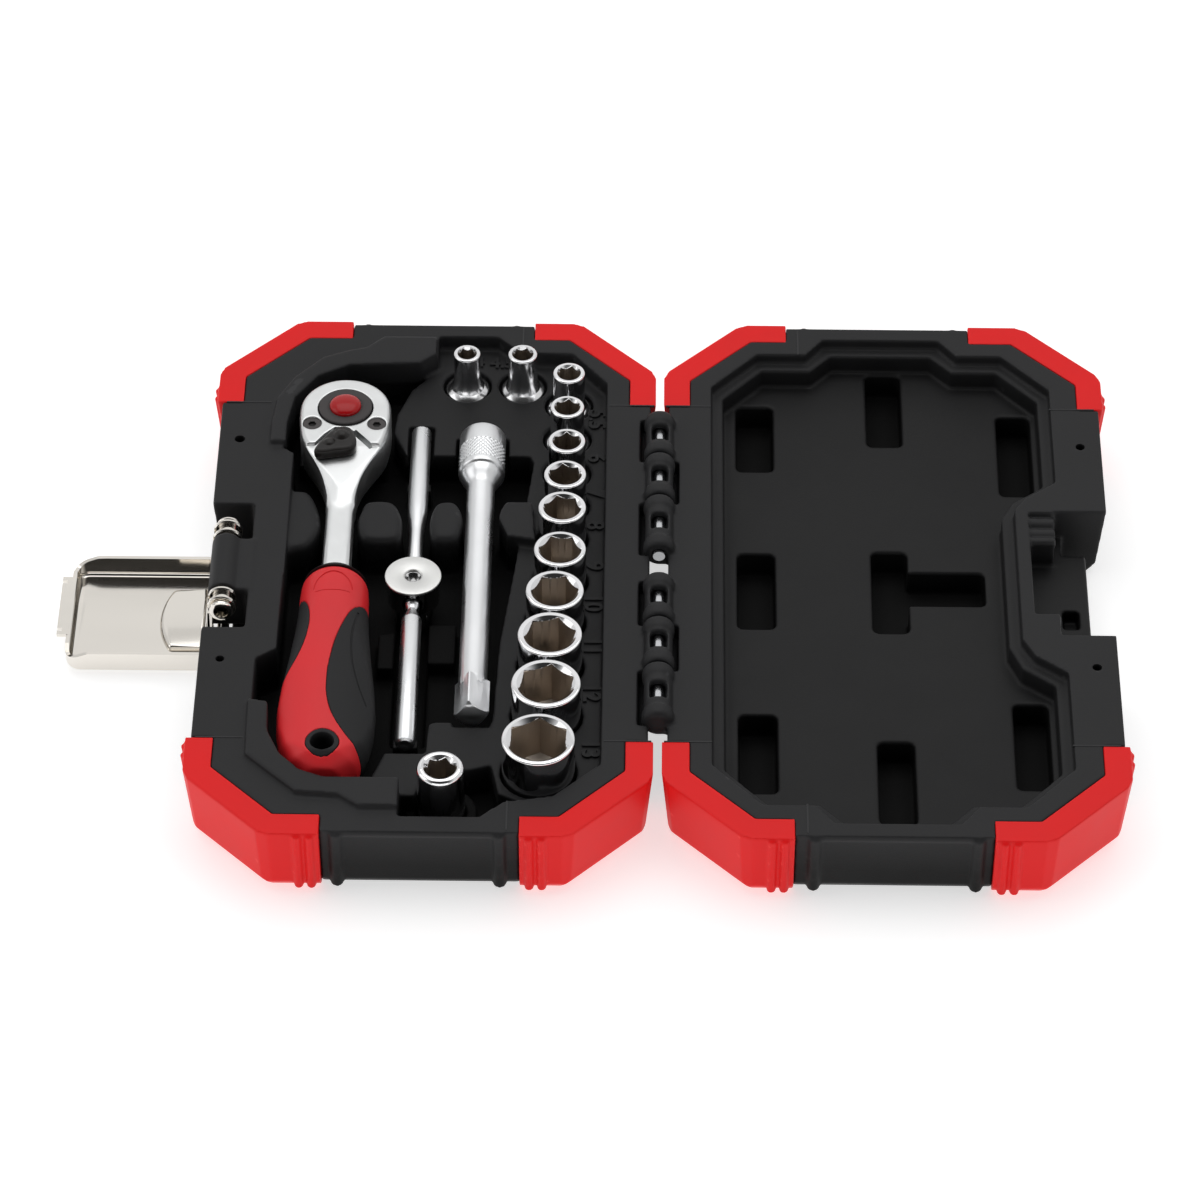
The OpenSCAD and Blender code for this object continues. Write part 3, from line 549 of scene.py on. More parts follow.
def base_case():
    shell = copy_of("base_shell", "case_base")
    # the plain rests of the CAD make way for the cushion-shaped ones
    plain = ((-92.7, 7, -84.9, 30), (-76.2, 7.5, -64.2, 27.5), (-58, 7.5, -49.4, 27.5))
    for x0, y0, x1, y1 in plain:
        cut(shell, block("clearing", (x0, y0, FLOOR_Z), (x1, y1, ABOVE_RIM)))
    # thin web across the bottom of the latch notch
    web = block("web", (-106.6, -22.4, 0.4), (-100.5, 22.4, 2.2))
    join(shell, web, *finger_rests(), *shell_trim(-1), *collars("base"))
    soften(shell, 0.42, 7, 0.3)
    for y, r in ((47, 1.35), (-34, 1.1)):
        cut(shell, lathe("hole", [(r, RIM_Z - 5), (r, RIM_Z + 2)], (-106.8, y, 0), "z", 24))
    join(shell, *seams(-1))
    shade_wells(shell, -99.5, -13.2)
    finished(shell, "base", "case_plastic", ["base_shell"], angle=60, lining="well_shade_plastic")


def lid_case():
    shell = copy_of("lid_shell", "case_lid")
    # the lug at the rear of the cut in the rim is lower than the rim, and ridged
    cut(shell, block("lug room", (92.4, 11.0, RIM_Z - 2.0), (99.4, 22.0, RIM_Z + 2)))
    ridges = [
        lathe("ridge", [(r, 91.9), (r, 99.0)], (0, y, RIM_Z - 0.3 - r), "x", 24)
        for r, y in ((2.0, 19.4), (1.7, 15.4), (1.2, 12.4), (1.3, -16.3))
    ]
    join(shell, *ridges, *shell_trim(1), *collars("lid"), *pin_caps())
    soften(shell, 0.42, 7, 0.3)
    for y in (47, -34):
        cut(shell, lathe("hole", [(1.2, RIM_Z - 5), (1.2, RIM_Z + 2)], (106.8, y, 0), "z", 24))
    join(shell, *seams(1))
    shade_wells(shell, 13.2, 101)
    finished(shell, "lid", "case_plastic", ["lid_shell"], angle=60, lining="well_shade_plastic")


def guard_trim(side):
    """Solid that takes off the corners where the faces of the guards of one half meet."""
    proud, draft, leg = 1.2, 1.7, 19
    spare = 1.5
    blunt = 0.55
    reach = (blunt + spare / math.cos(math.radians(22.5))) * math.tan(math.radians(67.5))
    layers = []
    for z, grow in ((-1, proud - draft - 0.2), (3.2, proud - draft), (RIM_Z + 1, proud)):
        cut_leg = leg + grow * (2 - math.sqrt(2))
        x0, x1, y1 = 2.2 - grow, 112.2 + grow, 92.5 + grow
        corners = [
            (x0 + cut_leg, -y1), (x1 - cut_leg, -y1), (x1, -y1 + cut_leg), (x1, y1 - cut_leg),
            (x1 - cut_leg, y1), (x0 + cut_leg, y1), (x0, y1 - cut_leg), (x0, -y1 + cut_leg),
        ]
        outline = []
        for i, corner in enumerate(corners):
            here = Vector(corner)
            before = (here - Vector(corners[i - 1])).normalized()
            after = (Vector(corners[(i + 1) % 8]) - here).normalized()
            outward = (before - after).normalized()
            along = (before + after).normalized()
            for step in (-reach, reach):
                place = here - outward * blunt + along * step
                outline.append((side * place.x, place.y))
        layers.append((outline[::side], z))
    return tapered("trim", layers)


def guards():
    for half, side in (("base", -1), ("lid", 1)):
        for depth in ("rear", "front"):
            for edge in ("outer", "inner"):
                name = f"guard_{half}_{depth}_{edge}"
                cap = copy_of(name, "corner_" + name[6:])
                boolean(cap, "INTERSECT", guard_trim(side))
                soften(cap, 0.3, 7, 0.5)
                finished(cap, half, "guard_plastic", [name], angle=60)


def size_mark(text, x, y, size, turn):
    curve = bpy.data.curves.new("mark", "FONT")
    curve.body = text
    curve.size = size * MM
    curve.extrude = 0.55 * MM
    curve.bevel_depth = 0.1 * MM
    curve.offset = 0.08 * MM
    curve.align_x = curve.align_y = "CENTER"
    lettering = add_object("mark", curve)
    data = baked(lettering)
    bpy.data.objects.remove(lettering)
    move = Matrix.Translation(at(x, y, SHELF_Z - 0.1))
    data.transform(move @ Matrix.Rotation(math.radians(turn), 4, "Z"))
    return add_object("mark", data)


def size_marks():
    marks = [size_mark(text, MARK_X, y, 6.2, -90) for text, y in SIZE_MARKS]
    marks.append(size_mark("4", -46.9, 82.6, 5.2, 0))
    marks.append(size_mark("4.5", -40.9, 82.2, 5.2, 0))
    finished(join(*marks), "base", "case_plastic")


# ---- sockets

SOCKET_LEN = 25
WELL_Z = 2.5
DRIVE_HALF = 3.2
# rings across the bevelled mouth of a socket
MOUTH_STEPS = 8


def polygon_radius(angle, sides, apothem):
    """Distance from the middle to the edge of a regular polygon with a corner at angle 0."""
    half = math.pi / sides
    return apothem / math.cos(angle % (2 * half) - half)


def hollow(name, centre, rings, turn=0.0, knurl=None, lining=None):
    """Closed tool body from rings, outside then inside, that end where they began.

    A ring is (height, radius), or (height, radius, sides, apothem) for the larger of a circle
    and a polygon: a cone that cuts a hexagon leaves a crescent on each flat. knurl is (first
    ring, last ring, depth), and lining the first ring that takes the second material.
    """
    around = 120
    bm = bmesh.new()
    loops = []
    for index, ring in enumerate(rings):
        height, round_r, sides, apothem = (*ring, 0, 0)[:4]
        loop = []
        for i in range(around):
            angle = 2 * math.pi * i / around
            r = max(round_r, polygon_radius(angle, sides, apothem)) if sides else round_r
            if knurl and knurl[0] <= index <= knurl[1] and i % 2:
                r -= knurl[2]
            spin = angle + turn
            x, y, z = centre
            place = at(x + r * math.cos(spin), y + r * math.sin(spin), z + height)
            loop.append(bm.verts.new(place))
        loops.append(loop)
    for index, (lower, upper) in enumerate(zip(loops, loops[1:] + loops[:1])):
        for i in range(around):
            j = (i + 1) % around
            face = bm.faces.new((lower[i], lower[j], upper[j], upper[i]))
            face.material_index = int(bool(lining) and index >= lining)
    return from_bmesh(name, bm)


# square hole in the drive end, from the top down
SQUARE_HOLE = [
    (7.9, 0, 4, DRIVE_HALF), (0.5, 0, 4, DRIVE_HALF), (0.0, DRIVE_HALF + 0.3, 4, DRIVE_HALF + 0.1),
]


def mouth(top, bevel, rim, apothem):
    """Rings of a bevelled mouth that leads into a hexagon, from the top down."""
    shares = [i / MOUTH_STEPS for i in range(MOUTH_STEPS + 1)]
    return [(top - bevel * t, rim + (apothem - rim) * t, 6, apothem) for t in shares]


def inner_rings(size, body_r):
    """Rings of the mouth, the hexagon, the bore and the square, from the top down."""
    apothem = size / 2 + 0.05
    corner = apothem / math.cos(math.pi / 6)
    rim = min(corner + 0.12, body_r - 0.5)
    depth = min(12, 5 + size * 0.8)
    bore = min(3.0, apothem - 0.15)
    foot = SOCKET_LEN - depth
    step = [(foot, 0, 6, apothem), (foot - 0.9, bore), (8.0, bore)]
    return mouth(SOCKET_LEN, 0.85, rim, apothem) + step + SQUARE_HOLE


def groove(radius, height):
    """Turned groove round a drive end."""
    return [
        (height, radius), (height + 0.2, radius - 0.35),
        (height + 0.9, radius - 0.35), (height + 1.1, radius),
    ]


def rounded_top(radius, top, edge):
    """Quarter round from the outside of a body onto its top."""
    rings = []
    steps = 5
    for i in range(steps + 1):
        angle = math.pi / 2 * i / steps
        height = top - edge + edge * math.sin(angle)
        rings.append((height, radius - edge + edge * math.cos(angle)))
    return rings


def seat_of(name):
    """Where an upright tool stands in its well."""
    low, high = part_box(name)
    return ((low.x + high.x) / 2 / MM - HINGE_X, (low.y + high.y) / 2 / MM, WELL_Z)


def socket(name, size, turn):
    drive_r, body_r = SOCKET_RADII[size]
    collar = SOCKET_LEN - 11.5
    outside = [(0, drive_r - 0.5), (0.5, drive_r)]
    outside += groove(drive_r, 5.5)
    knurl = None
    small = size < 5
    if body_r < drive_r - 0.2 and body_r < 5.6:
        flange = drive_r + 0.35
        outside = [(0, flange - 0.5), (0.5, flange)] + groove(flange, 5.5)
        outside += [(collar - 3.2, flange), (collar - 2.9, drive_r - 0.1)]
        start = len(outside)
        outside += [(collar - 2.6, drive_r), (collar - 0.5, drive_r)]
        outside += [(collar - 0.4, drive_r - 0.1)]
        if small:
            knurl = (start, start + 1, 0.3)
        flare = 4.2 if small else 2.6
        steps = 8
        for i in range(steps + 1):
            t = i / steps
            bend = 1 - math.sqrt(1 - (1 - t) ** 2)
            r = body_r + (drive_r - 0.5 - body_r) * bend
            outside.append((collar + flare * t, r))
    elif drive_r < body_r - 0.1:
        outside += [(SOCKET_LEN - 18, drive_r), (SOCKET_LEN - 17.3, body_r)]
    outside += rounded_top(body_r, SOCKET_LEN, 0.45)
    rings = outside + inner_rings(size, body_r)
    lining = len(outside) + MOUTH_STEPS
    body = hollow("tool_" + name, seat_of(name), rings, math.radians(turn), knurl, lining)
    finish = "small_chrome" if small else "socket_chrome"
    finished(body, name, finish, [name], angle=24, lining="socket_bore")


# drive end and body radius of each socket, by size
SOCKET_RADII = {
    4: (5.7, 3.4), 4.5: (5.7, 3.7), 5: (5.7, 4.05), 5.5: (5.7, 4.3), 6: (5.7, 4.7),
    7: (5.7, 5.3), 8: (5.95, 5.95), 9: (6.45, 6.45), 10: (7.15, 7.15), 11: (7.65, 7.85),
    12: (7.9, 8.4), 13: (8.2, 8.8),
}


def sockets():
    for step, size in enumerate(SOCKET_RADII):
        socket("socket_" + str(size).replace(".", "_"), size, 8 * step)


def bit_adapter():
    radius, length, apothem = 5.7, 24, 3.25
    corner = apothem / math.cos(math.pi / 6)
    rings = [(0, radius - 0.5), (0.5, radius)] + groove(radius, 5.5)
    rings += rounded_top(radius, length, 1.2)
    rings += mouth(length - 0.2, 1.1, corner + 0.3, apothem)
    lining = len(rings) - 1
    rings += [(9.6, 0, 6, apothem), (9.5, 2.5), (8.0, 2.5)] + SQUARE_HOLE
    turn = math.radians(12)
    body = hollow("tool_bit_adapter", seat_of("bit_adapter"), rings, turn, None, lining)
    finished(body, "adapter", "socket_chrome", ["bit_adapter"], angle=24, lining="socket_bore")


# ---- bars

BAR_X, BAR_Z, BAR_R = -60.9, 16.0, 2.5
HEAD_Y = -2.6
EXT_X, EXT_Z = -45.1, 17.5
SHANK_R = 3.5
DRIVE_TURN = math.radians(36)


def square_drive(name, x, y, z, along, start, end, turn=0.0):
    """Quarter-inch male square with turned corners and a chamfered free end."""
    corner = 4.3
    side = 3.175
    grow = math.copysign(1, end - start)
    profile = [
        (corner, start), (corner, end - grow * 1.1), (corner - 0.5, end - grow * 0.4),
        (corner - 1.3, end),
    ]
    round_part = lathe(name, profile, (x, y, z), along, 120)
    axis = {"z": (0, 0, 1), "y": (0, 1, 0)}[along]
    middle = at(x, y, z) + Vector(axis) * (start + end) / 2 * MM
    stretch = Matrix.Scale(6, 4, axis)
    spin = Matrix.Rotation(turn, 4, along.upper())
    flats = cube("flats", side, Matrix.Translation(middle) @ spin @ stretch)
    return boolean(round_part, "INTERSECT", flats)


def sliding_bar():
    r = BAR_R
    waist = 1.8
    profile = [
        (0.2, -58.1), (0.9, -58.35), (r - 0.9, -58.4), (r - 0.25, -58.0), (r, -57.3),
        (r, -15.0), (r - 0.15, -14.4), (1.35, -11.6), (1.5, -10.9), (waist, -10.2),
        (waist, 17.0), (1.95, 19.0), (2.3, 23.0), (r - 0.05, 25.5), (r, 27.0),
        (r, 55.2), (r - 0.15, 55.6), (r - 0.6, 55.95), (0.2, 56.0),
    ]
    bar = lathe("tool_sliding_bar", profile, (BAR_X, 0, BAR_Z), "y", 64)
    finished(bar, "t_bar", "tool_chrome", ["sliding_bar"], angle=35)


def t_head():
    r = 7.0
    profile = [
        (0.3, 12.2), (r - 0.9, 12.2), (r - 0.4, 12.7), (r - 0.4, 18.7), (r - 0.25, 19.2),
        (r - 0.25, 19.5), (2.45, 19.5), (2.2, 19.4), (2.0, 19.3), (2.0, 17.6), (0.1, 16.9),
    ]
    head = lathe("tool_t_head", profile, (BAR_X, HEAD_Y, 0))
    add(head, square_drive("square", BAR_X, HEAD_Y, 0, "z", 12.6, 4.2))
    cut(head, lathe("bore", [(BAR_R + 0.06, -12), (BAR_R + 0.06, 12)], (BAR_X, HEAD_Y, BAR_Z), "y"))
    cut(head, lathe("room", [(1.65, 0.2), (1.65, 6)], (BAR_X, HEAD_Y, 7.6), "x", 32))
    finished(head, "t_slider", "bright_chrome", ["t_head"], angle=30)
    cap = [
        (19.5, 2.05), (19.4, r - 0.25), (19.6, r), (20.0, r), (20.15, r - 0.12), (20.2, r - 0.35),
        (20.2, 2.5), (20.1, 2.25), (19.9, 2.05),
    ]
    disc = hollow("tool_t_head_face", (BAR_X, HEAD_Y, 0), cap)
    finished(disc, "t_slider", "head_chrome", angle=30)


def knurled(angle, radius, distance):
    """Diamond pattern over the band at the socket end of the extension bar."""
    if not 39.6 < distance < 46.2:
        return radius
    left = math.sin(30 * angle + distance * 4.8)
    right = math.sin(30 * angle - distance * 4.8)
    return radius - 0.09 + 0.07 * (left + right)


def extension_bar():
    r, big = SHANK_R, 5.9
    profile = [(0.3, 51.95), (big - 0.7, 51.95), (big - 0.25, 51.75), (big, 51.2), (big, 46.3)]
    rows = 44
    profile += [(big, 46.2 - 6.7 * i / rows) for i in range(rows + 1)]
    profile += [(big, 39.3), (big, 38.0), (big - 0.12, 37.7), (big - 0.45, 37.4)]
    steps = 10
    for i in range(steps + 1):
        t = i / steps
        ease = t * t * (3 - 2 * t)
        profile.append((big - 0.6 - (big - 0.6 - r) * ease, 37.3 - 4.9 * t))
    profile += [(r, -37.5), (r + 0.05, -38.4), (r - 0.2, -40.2), (0.3, -40.4)]
    bar = lathe("tool_extension_bar", profile, (EXT_X, 0, EXT_Z), "y", 240, knurled)
    add(bar, square_drive("square", EXT_X, 0, EXT_Z, "y", -38.4, -49.8, DRIVE_TURN))
    spin = Matrix.Rotation(DRIVE_TURN, 4, "Y")
    cut(bar, cube("sink", DRIVE_HALF, Matrix.Translation(at(EXT_X, 49.2, EXT_Z)) @ spin))
    finished(bar, "extension", "tool_chrome", ["extension_bar"], angle=32)


# ---- ratchet

RATCHET_X, RATCHET_Y = -80.2, 55.5
LEVER_X, LEVER_Y = -80.8, 44.4
HEAD_SPOT, LEVER_SPOT = (RATCHET_X, RATCHET_Y, 0), (LEVER_X, LEVER_Y, 0)
# the top of the head, and a height clear of everything on it
HEAD_TOP, ABOVE = 24.5, 32


def spline(places, steps):
    """Points from the second of four places up to the third, on a Catmull-Rom spline."""
    p0, p1, p2, p3 = [Vector(place) for place in places]
    bend = 2 * p0 - 5 * p1 + 4 * p2 - p3
    twist = 3 * p1 - p0 - 3 * p2 + p3
    result = []
    for k in range(steps):
        t = k / steps
        point = 0.5 * (2 * p1 + (p2 - p0) * t + bend * t * t + twist * t ** 3)
        result.append((point.x, point.y))
    return result


def curve_through(points, steps):
    """Closed smooth curve through points."""
    count = len(points)
    result = []
    for i in range(count):
        result += spline([points[(i + k - 1) % count] for k in range(4)], steps)
    return result


def heading(path, i):
    """Direction of an open path at its point i."""
    return (Vector(path[min(i + 1, len(path) - 1)]) - Vector(path[max(i - 1, 0)])).normalized()


def inset(outline, distance):
    """Moves each point of a counter-clockwise outline inwards."""
    result = []
    count = len(outline)
    for i, point in enumerate(outline):
        along = Vector(outline[(i + 1) % count]) - Vector(outline[i - 1])
        along.normalize()
        result.append((point[0] - along.y * distance, point[1] + along.x * distance))
    return result


def head_outline():
    """Plan of the head: round at the rear, with flanks that curve in to the neck."""
    flank = [
        (11.5, -5.0), (10.7, -10.6), (9.1, -14.6), (7.3, -18.0), (5.6, -21.6), (4.4, -25.2),
        (3.7, -29.0), (3.2, -33.0),
    ]
    back = arc(0, 0, 11.6, 0, 180, 12)
    left = [(-x, y) for x, y in flank]
    points = back + left + flank[::-1]
    return [(RATCHET_X + x, RATCHET_Y + y) for x, y in curve_through(points, 5)]


def slanted_cutter(first, second, outward, drop):
    """Block whose underside falls away outwards from the line first-second, each (x, y, z)."""
    bm = bmesh.new()
    reach = 14
    ox, oy = outward
    corners = []
    for (x, y, z), far in ((first, 0), (second, 0), (second, 1), (first, 1)):
        corners.append((x + ox * reach * far, y + oy * reach * far, z - drop * reach * far))
    low = [bm.verts.new(at(*c)) for c in corners]
    high = [bm.verts.new(at(c[0], c[1], ABOVE)) for c in corners]
    skin(bm, [low, high])
    return from_bmesh("slant", bm)


def ratchet_body():
    outline = head_outline()
    layers = [
        (13.0, 1.0), (13.4, 0.4), (14.2, 0.0), (22.9, 0.0), (23.7, 0.2), (24.2, 0.55), (24.5, 1.1),
    ]
    body = tapered("tool_ratchet_body", [(inset(outline, d), z) for z, d in layers])
    neck = [(RATCHET_X + x, y) for x, y in ((-3.6, -38), (3.6, -38), (3.6, 30), (-3.6, 30))]
    layers = [(13.8, 0.9), (14.8, 0.1), (18.6, 0), (19.7, 0.4), (20.25, 1.3)]
    tang = tapered("tang", [(inset(neck, d), z) for z, d in layers])
    # the top of the head slopes down on to the neck, and its front comes to a point there
    cut(body, slanted_cutter((-90, 28.0, 22.0), (-70, 28.0, 22.0), (0, -1), 0.3))
    cut(body, block("ledge", (-100, 20, 10), (-60, 24.4, 13.9)))
    front = [
        (-102, 39.8), (-88.6, 39.8), (-85.2, 45.2), (-82.6, 48.0), (-79.4, 48.0), (-77.3, 46.0),
        (-72.6, 40.6), (-58, 40.6), (-58, 18), (-102, 18),
    ]
    step_z = HEAD_TOP - 1.1
    cut(body, prism("step", front, step_z, ABOVE))
    cut(body, slanted_cutter((-95, 42, step_z), (-65, 42, step_z), (0, -1), 0.1))
    tip = Vector((RATCHET_X, 27.6, 21.95))
    for s in (1, -1):
        start = Vector((RATCHET_X + s * 9.5, 42.0, step_z))
        past = start + (tip - start) * 1.5
        line = (tip - start).to_2d().normalized()
        outward = (abs(line.y) * s, -abs(line.x))
        cut(body, slanted_cutter(start, past, outward, 0.42))
    add(body, tang)
    gear_room = [(7.5, 14.4), (7.5, 22.0), (7.0, 22.1), (7.0, 30)]
    drive_room = [(6.06, 11), (6.06, 16)]
    lever_room = [(4.6, 15.5), (4.6, 21.3), (1.7, 21.4), (1.7, 30)]
    for room, spot in ((gear_room, HEAD_SPOT), (drive_room, HEAD_SPOT), (lever_room, LEVER_SPOT)):
        cut(body, lathe("room", room, spot))
    screw_room = [
        (0.95, HEAD_TOP - 6), (0.95, HEAD_TOP - 1.25), (2.4, HEAD_TOP - 1.2), (2.4, 30),
    ]
    for s in (1, -1):
        cut(body, lathe("room", screw_room, (RATCHET_X + s * 8.2, RATCHET_Y - 6, 0)))
    soften(body, 0.2, 5, 1)
    blend(body, 8, 30, 160)
    thin(body, 0.6)
    slot = [(-77.9, 46.3), (-73.5, 40.9), (-72.7, 41.5), (-77.1, 46.9)]
    cut(body, prism("slot", slot, HEAD_TOP - 2.6, ABOVE))
    finished(body, "ratchet", "forged_chrome", ["ratchet_body"], angle=50)


def reversing_lever():
    """Thumb lever: a pointed paddle with two round bumps, softly moulded."""
    plan = [
        (-87.4, 37.9), (-85.4, 36.7), (-82.2, 37.4), (-79, 38), (-77, 39.5), (-76.9, 43),
        (-78.4, 46.4), (-81, 47), (-83.6, 45), (-85.8, 41.8),
    ]
    smooth = curve_through(plan, 4)
    layers = [(23.0, 0.6), (23.5, 0.1), (25.0, 0), (25.7, 0.25), (26.1, 0.9)]
    paddle = tapered("tool_reversing_lever", [(inset(smooth, d), z) for z, d in layers])
    stem = lathe("stem", [(2.6, 16), (2.6, 24)], LEVER_SPOT, "z", 32)
    big_bump = ball("bump", (-80.6, 43.2, 25.1), 2.3)
    small_bump = ball("bump", (-83.6, 40.4, 25.0), 1.9)
    lever = join(paddle, stem, big_bump, small_bump)
    soften(lever, 0.16, 6, 0.6)
    finished(lever, "reverser", "lever_black", ["reversing_lever"], angle=60)


def release_button():
    steps = 10
    angles = [math.pi / 2 * i / steps for i in range(steps)]
    dome = [(4.0 * math.cos(a), 25.2 + 1.6 * math.sin(a)) for a in angles]
    profile = [(1.3, 11.9), (1.3, 18.7), (4.0, 18.8)] + dome + [(0.1, 26.8)]
    button = lathe("tool_release_button", profile, HEAD_SPOT, "z", 64)
    finished(button, "button", "button_red", ["release_button"], angle=35)


def gear_ring():
    """Upper ring of the gear, with its chamfers, over the toothed wheel that stays as it is."""
    rings = [(20.5, 6.74), (24.7, 6.74), (24.98, 6.5), (24.98, 4.5), (24.7, 4.16), (20.5, 4.16)]
    ring = hollow("tool_gear_ring", HEAD_SPOT, rings)
    finished(ring, "drive", "black_steel", angle=25)


def groove_on(shape, places, radius):
    """Cuts a fine groove into a shape along (x, y) places seen from above."""
    tree = BVHTree.FromObject(shape, bpy.context.evaluated_depsgraph_get())
    points = [tree.ray_cast(at(x, y, 60), Vector((0, 0, -1)))[0] for x, y in places]
    if all(points):
        cut(shape, tube("groove", points, radius))
    return shape


def smooth_path(points, steps=6):
    """Open smooth curve through points."""
    ends = [points[0]] + points + [points[-1]]
    result = []
    for i in range(len(points) - 1):
        result += spline(ends[i:i + 4], steps)
    return result + [points[-1]]


# inner edges of the two soft inlays of the handle, from front to back
RIGHT_EDGE = [
    (-62, -72), (-68.8, -68.8), (-72.3, -65.8), (-75.4, -62), (-78.2, -56.8), (-79.8, -50.8),
    (-80.2, -44), (-79.7, -37), (-78.4, -29), (-75.6, -20), (-72.2, -14.6), (-68, -12.4),
    (-64, -12),
]
LEFT_EDGE = [
    (-98, -45.5), (-93, -43.8), (-89.2, -38), (-86.5, -31), (-85.4, -23), (-86.4, -15.6),
    (-89, -11.6), (-93, -10.6), (-98, -10.4),
]
INLAY_LINE = [(-73.6, -19), (-74.8, -28), (-74.4, -37), (-72.6, -45), (-70.4, -51)]
HANG_Y = -66
GRIP_PARTS = ["ratchet_handle", "grip_left", "grip_right", "hang_ring"]


def grip():
    """Red core, two soft inlays and the bush of the hanging hole, out of one smooth body."""
    hang = (RATCHET_X, HANG_Y, 0)
    copies = [copy_of(name, name + "_copy") for name in GRIP_PARTS]
    plug = [(0.1, 8.1), (2.5, 8.3), (3.6, 8.7), (3.6, 24.3), (2.5, 24.7), (0.1, 24.9)]
    copies.append(lathe("plug", plug, hang, "z", 32))
    body = join(*copies)
    soften(body, 0.36, 24, 1)
    right_plan = smooth_path(RIGHT_EDGE) + [(-58, -12), (-58, -72)]
    left_plan = smooth_path(LEFT_EDGE) + [(-102, -10.4), (-102, -45.5)]
    plans = {"right": right_plan, "left": left_plan}
    red = add_object("tool_handle", body.data.copy())
    cut(red, lathe("hole", [(4.1, 0), (4.1, 40)], hang, "z", 48))
    for side, plan in plans.items():
        inlay = add_object("tool_grip_" + side, body.data.copy())
        boolean(inlay, "INTERSECT", prism("plug", plan, 0, 40))
        soften(inlay, 0.24, 3, 0.5)
        if side == "right":
            groove_on(inlay, smooth_path(INLAY_LINE), 0.3)
        finished(inlay, "ratchet", "grip_rubber", ["grip_" + side], angle=45)
        cut(red, prism("plug", plan, 0, 40))
    soften(red, 0.24, 3, 0.5)
    loop = arc(RATCHET_X, -12.2, 4.6, 178, 2, 18)
    groove_on(red, [(x, -12.2 + (y + 12.2) * 1.25) for x, y in loop], 0.34)
    groove_on(red, [(RATCHET_X - 4.3 + 8.6 * i / 8, -13.2) for i in range(9)], 0.16)
    finished(red, "ratchet", "grip_red", ["ratchet_handle"], angle=40)
    body.name = "tool_hang_ring"
    bush = boolean(body, "INTERSECT", lathe("bush", [(4.0, 0), (4.0, 40)], hang, "z", 48))
    cut(bush, lathe("hole", [(2.9, 0), (2.9, 40)], hang, "z", 48))
    soften(bush, 0.12, 4, 0.5)
    finished(bush, "ratchet", "grip_rubber", ["hang_ring"], angle=60)
    collar = soften(copy_of("handle_collar", "tool_handle_collar"), 0.16, 4, 0.6)
    finished(collar, "ratchet", "grip_rubber", ["handle_collar"], angle=60)


# ---- latch

PLATE_END, PLATE_HALF = -147.2, 18.0
PIN_A = (-107.7, 0, 19.5)
PIN_B = (-108.5, 0, 4.6)


def wall_height(x, y):
    """Height of the pan's wall above its underside at a place on its rim."""
    if abs(y) > PLATE_HALF - 1.5:
        slope = (x + 146.5) / 5.5
        return 4.4 + 2.2 * min(1, max(0, slope))
    return 6.0 if abs(y) < 13.5 else 4.4


def latch_plate():
    """Deep-drawn pan, open towards the case, with a turned-out finger tab on its end wall."""
    half, end, bend, corner = PLATE_HALF - 0.5, PLATE_END + 0.5, 1.6, 3.2
    path = [(-112.6 - 2.6 * i, -half) for i in range(12)]
    path += arc(end + corner, -half + corner, corner, 270, 180, 8)
    path += [(end, -13.4 + 1.2 * i) for i in range(23)]
    path += arc(end + corner, half - corner, corner, 180, 90, 8)
    path += [(-112.6 - 2.6 * i, half) for i in range(11, -1, -1)]
    bm = bmesh.new()
    columns = []
    for i, (x, y) in enumerate(path):
        along = heading(path, i)
        inward = Vector((along.y, -along.x))
        column = []
        for k in range(7):
            angle = math.pi / 2 * k / 6
            offset = bend * (1 - math.sin(angle))
            z = 0.7 + bend * (1 - math.cos(angle))
            column.append((x + inward.x * offset, y + inward.y * offset, z))
        column.append((x, y, 0.2 + wall_height(x, y)))
        columns.append([bm.verts.new(at(*c)) for c in column])
    for left, right in zip(columns, columns[1:]):
        for k in range(len(left) - 1):
            bm.faces.new((left[k], right[k], right[k + 1], left[k + 1]))
    bm.faces.new([column[0] for column in columns])
    pan = from_bmesh("latch_pan", bm)
    sheet = pan.modifiers.new("sheet", "SOLIDIFY")
    sheet.thickness = 1.0 * MM
    sheet.offset = 0
    applied(pan)
    tab_path = [(end, 4.9), (end, 5.5), (end - 0.15, 5.8), (end - 0.5, 5.9), (PLATE_END - 2.4, 5.9)]
    tab = strip("tab", tab_path, 0.9, -10.5, 10.5)
    for s in (1, -1):
        y0, y1 = span(s, 8.2, 9.2)
        cut(tab, block("notch", (PLATE_END - 4, y0, 4), (PLATE_END - 1.2, y1, 8)))
    parts = [tab]
    ear = [
        (-113.4, 0.7), (-112.2, 0.5), (-106.4, 2.7), (-106.0, 3.2), (-106.0, 5.9), (-106.6, 6.7),
        (-113.4, 6.7),
    ]
    for s in (1, -1):
        y0, y1 = span(s, PLATE_HALF, PLATE_HALF - 1)
        parts.append(side_plate("ear", ear, y0, y1))
    # raised field with one bulging side, towards the tab
    field = arc(-103.4, 0, 21.4, 153, 207, 24)
    field += arc(-121.0, -9.3, 1.5, 215, 270, 5) + [(-113.0, -10.8), (-113.0, 10.8)]
    field += arc(-121.0, 9.3, 1.5, 90, 145, 5)
    layers = [
        (0.4, 0), (1.2, 0), (1.6, 0.1), (2.1, 0.35), (2.4, 0.65), (2.52, 1.0), (2.55, 1.3),
    ]
    parts.append(tapered("field", [(inset(field, d), z) for z, d in layers]))
    join(pan, *parts)
    finished(pan, "latch_plate", "latch_nickel", ["latch_plate"], angle=30)


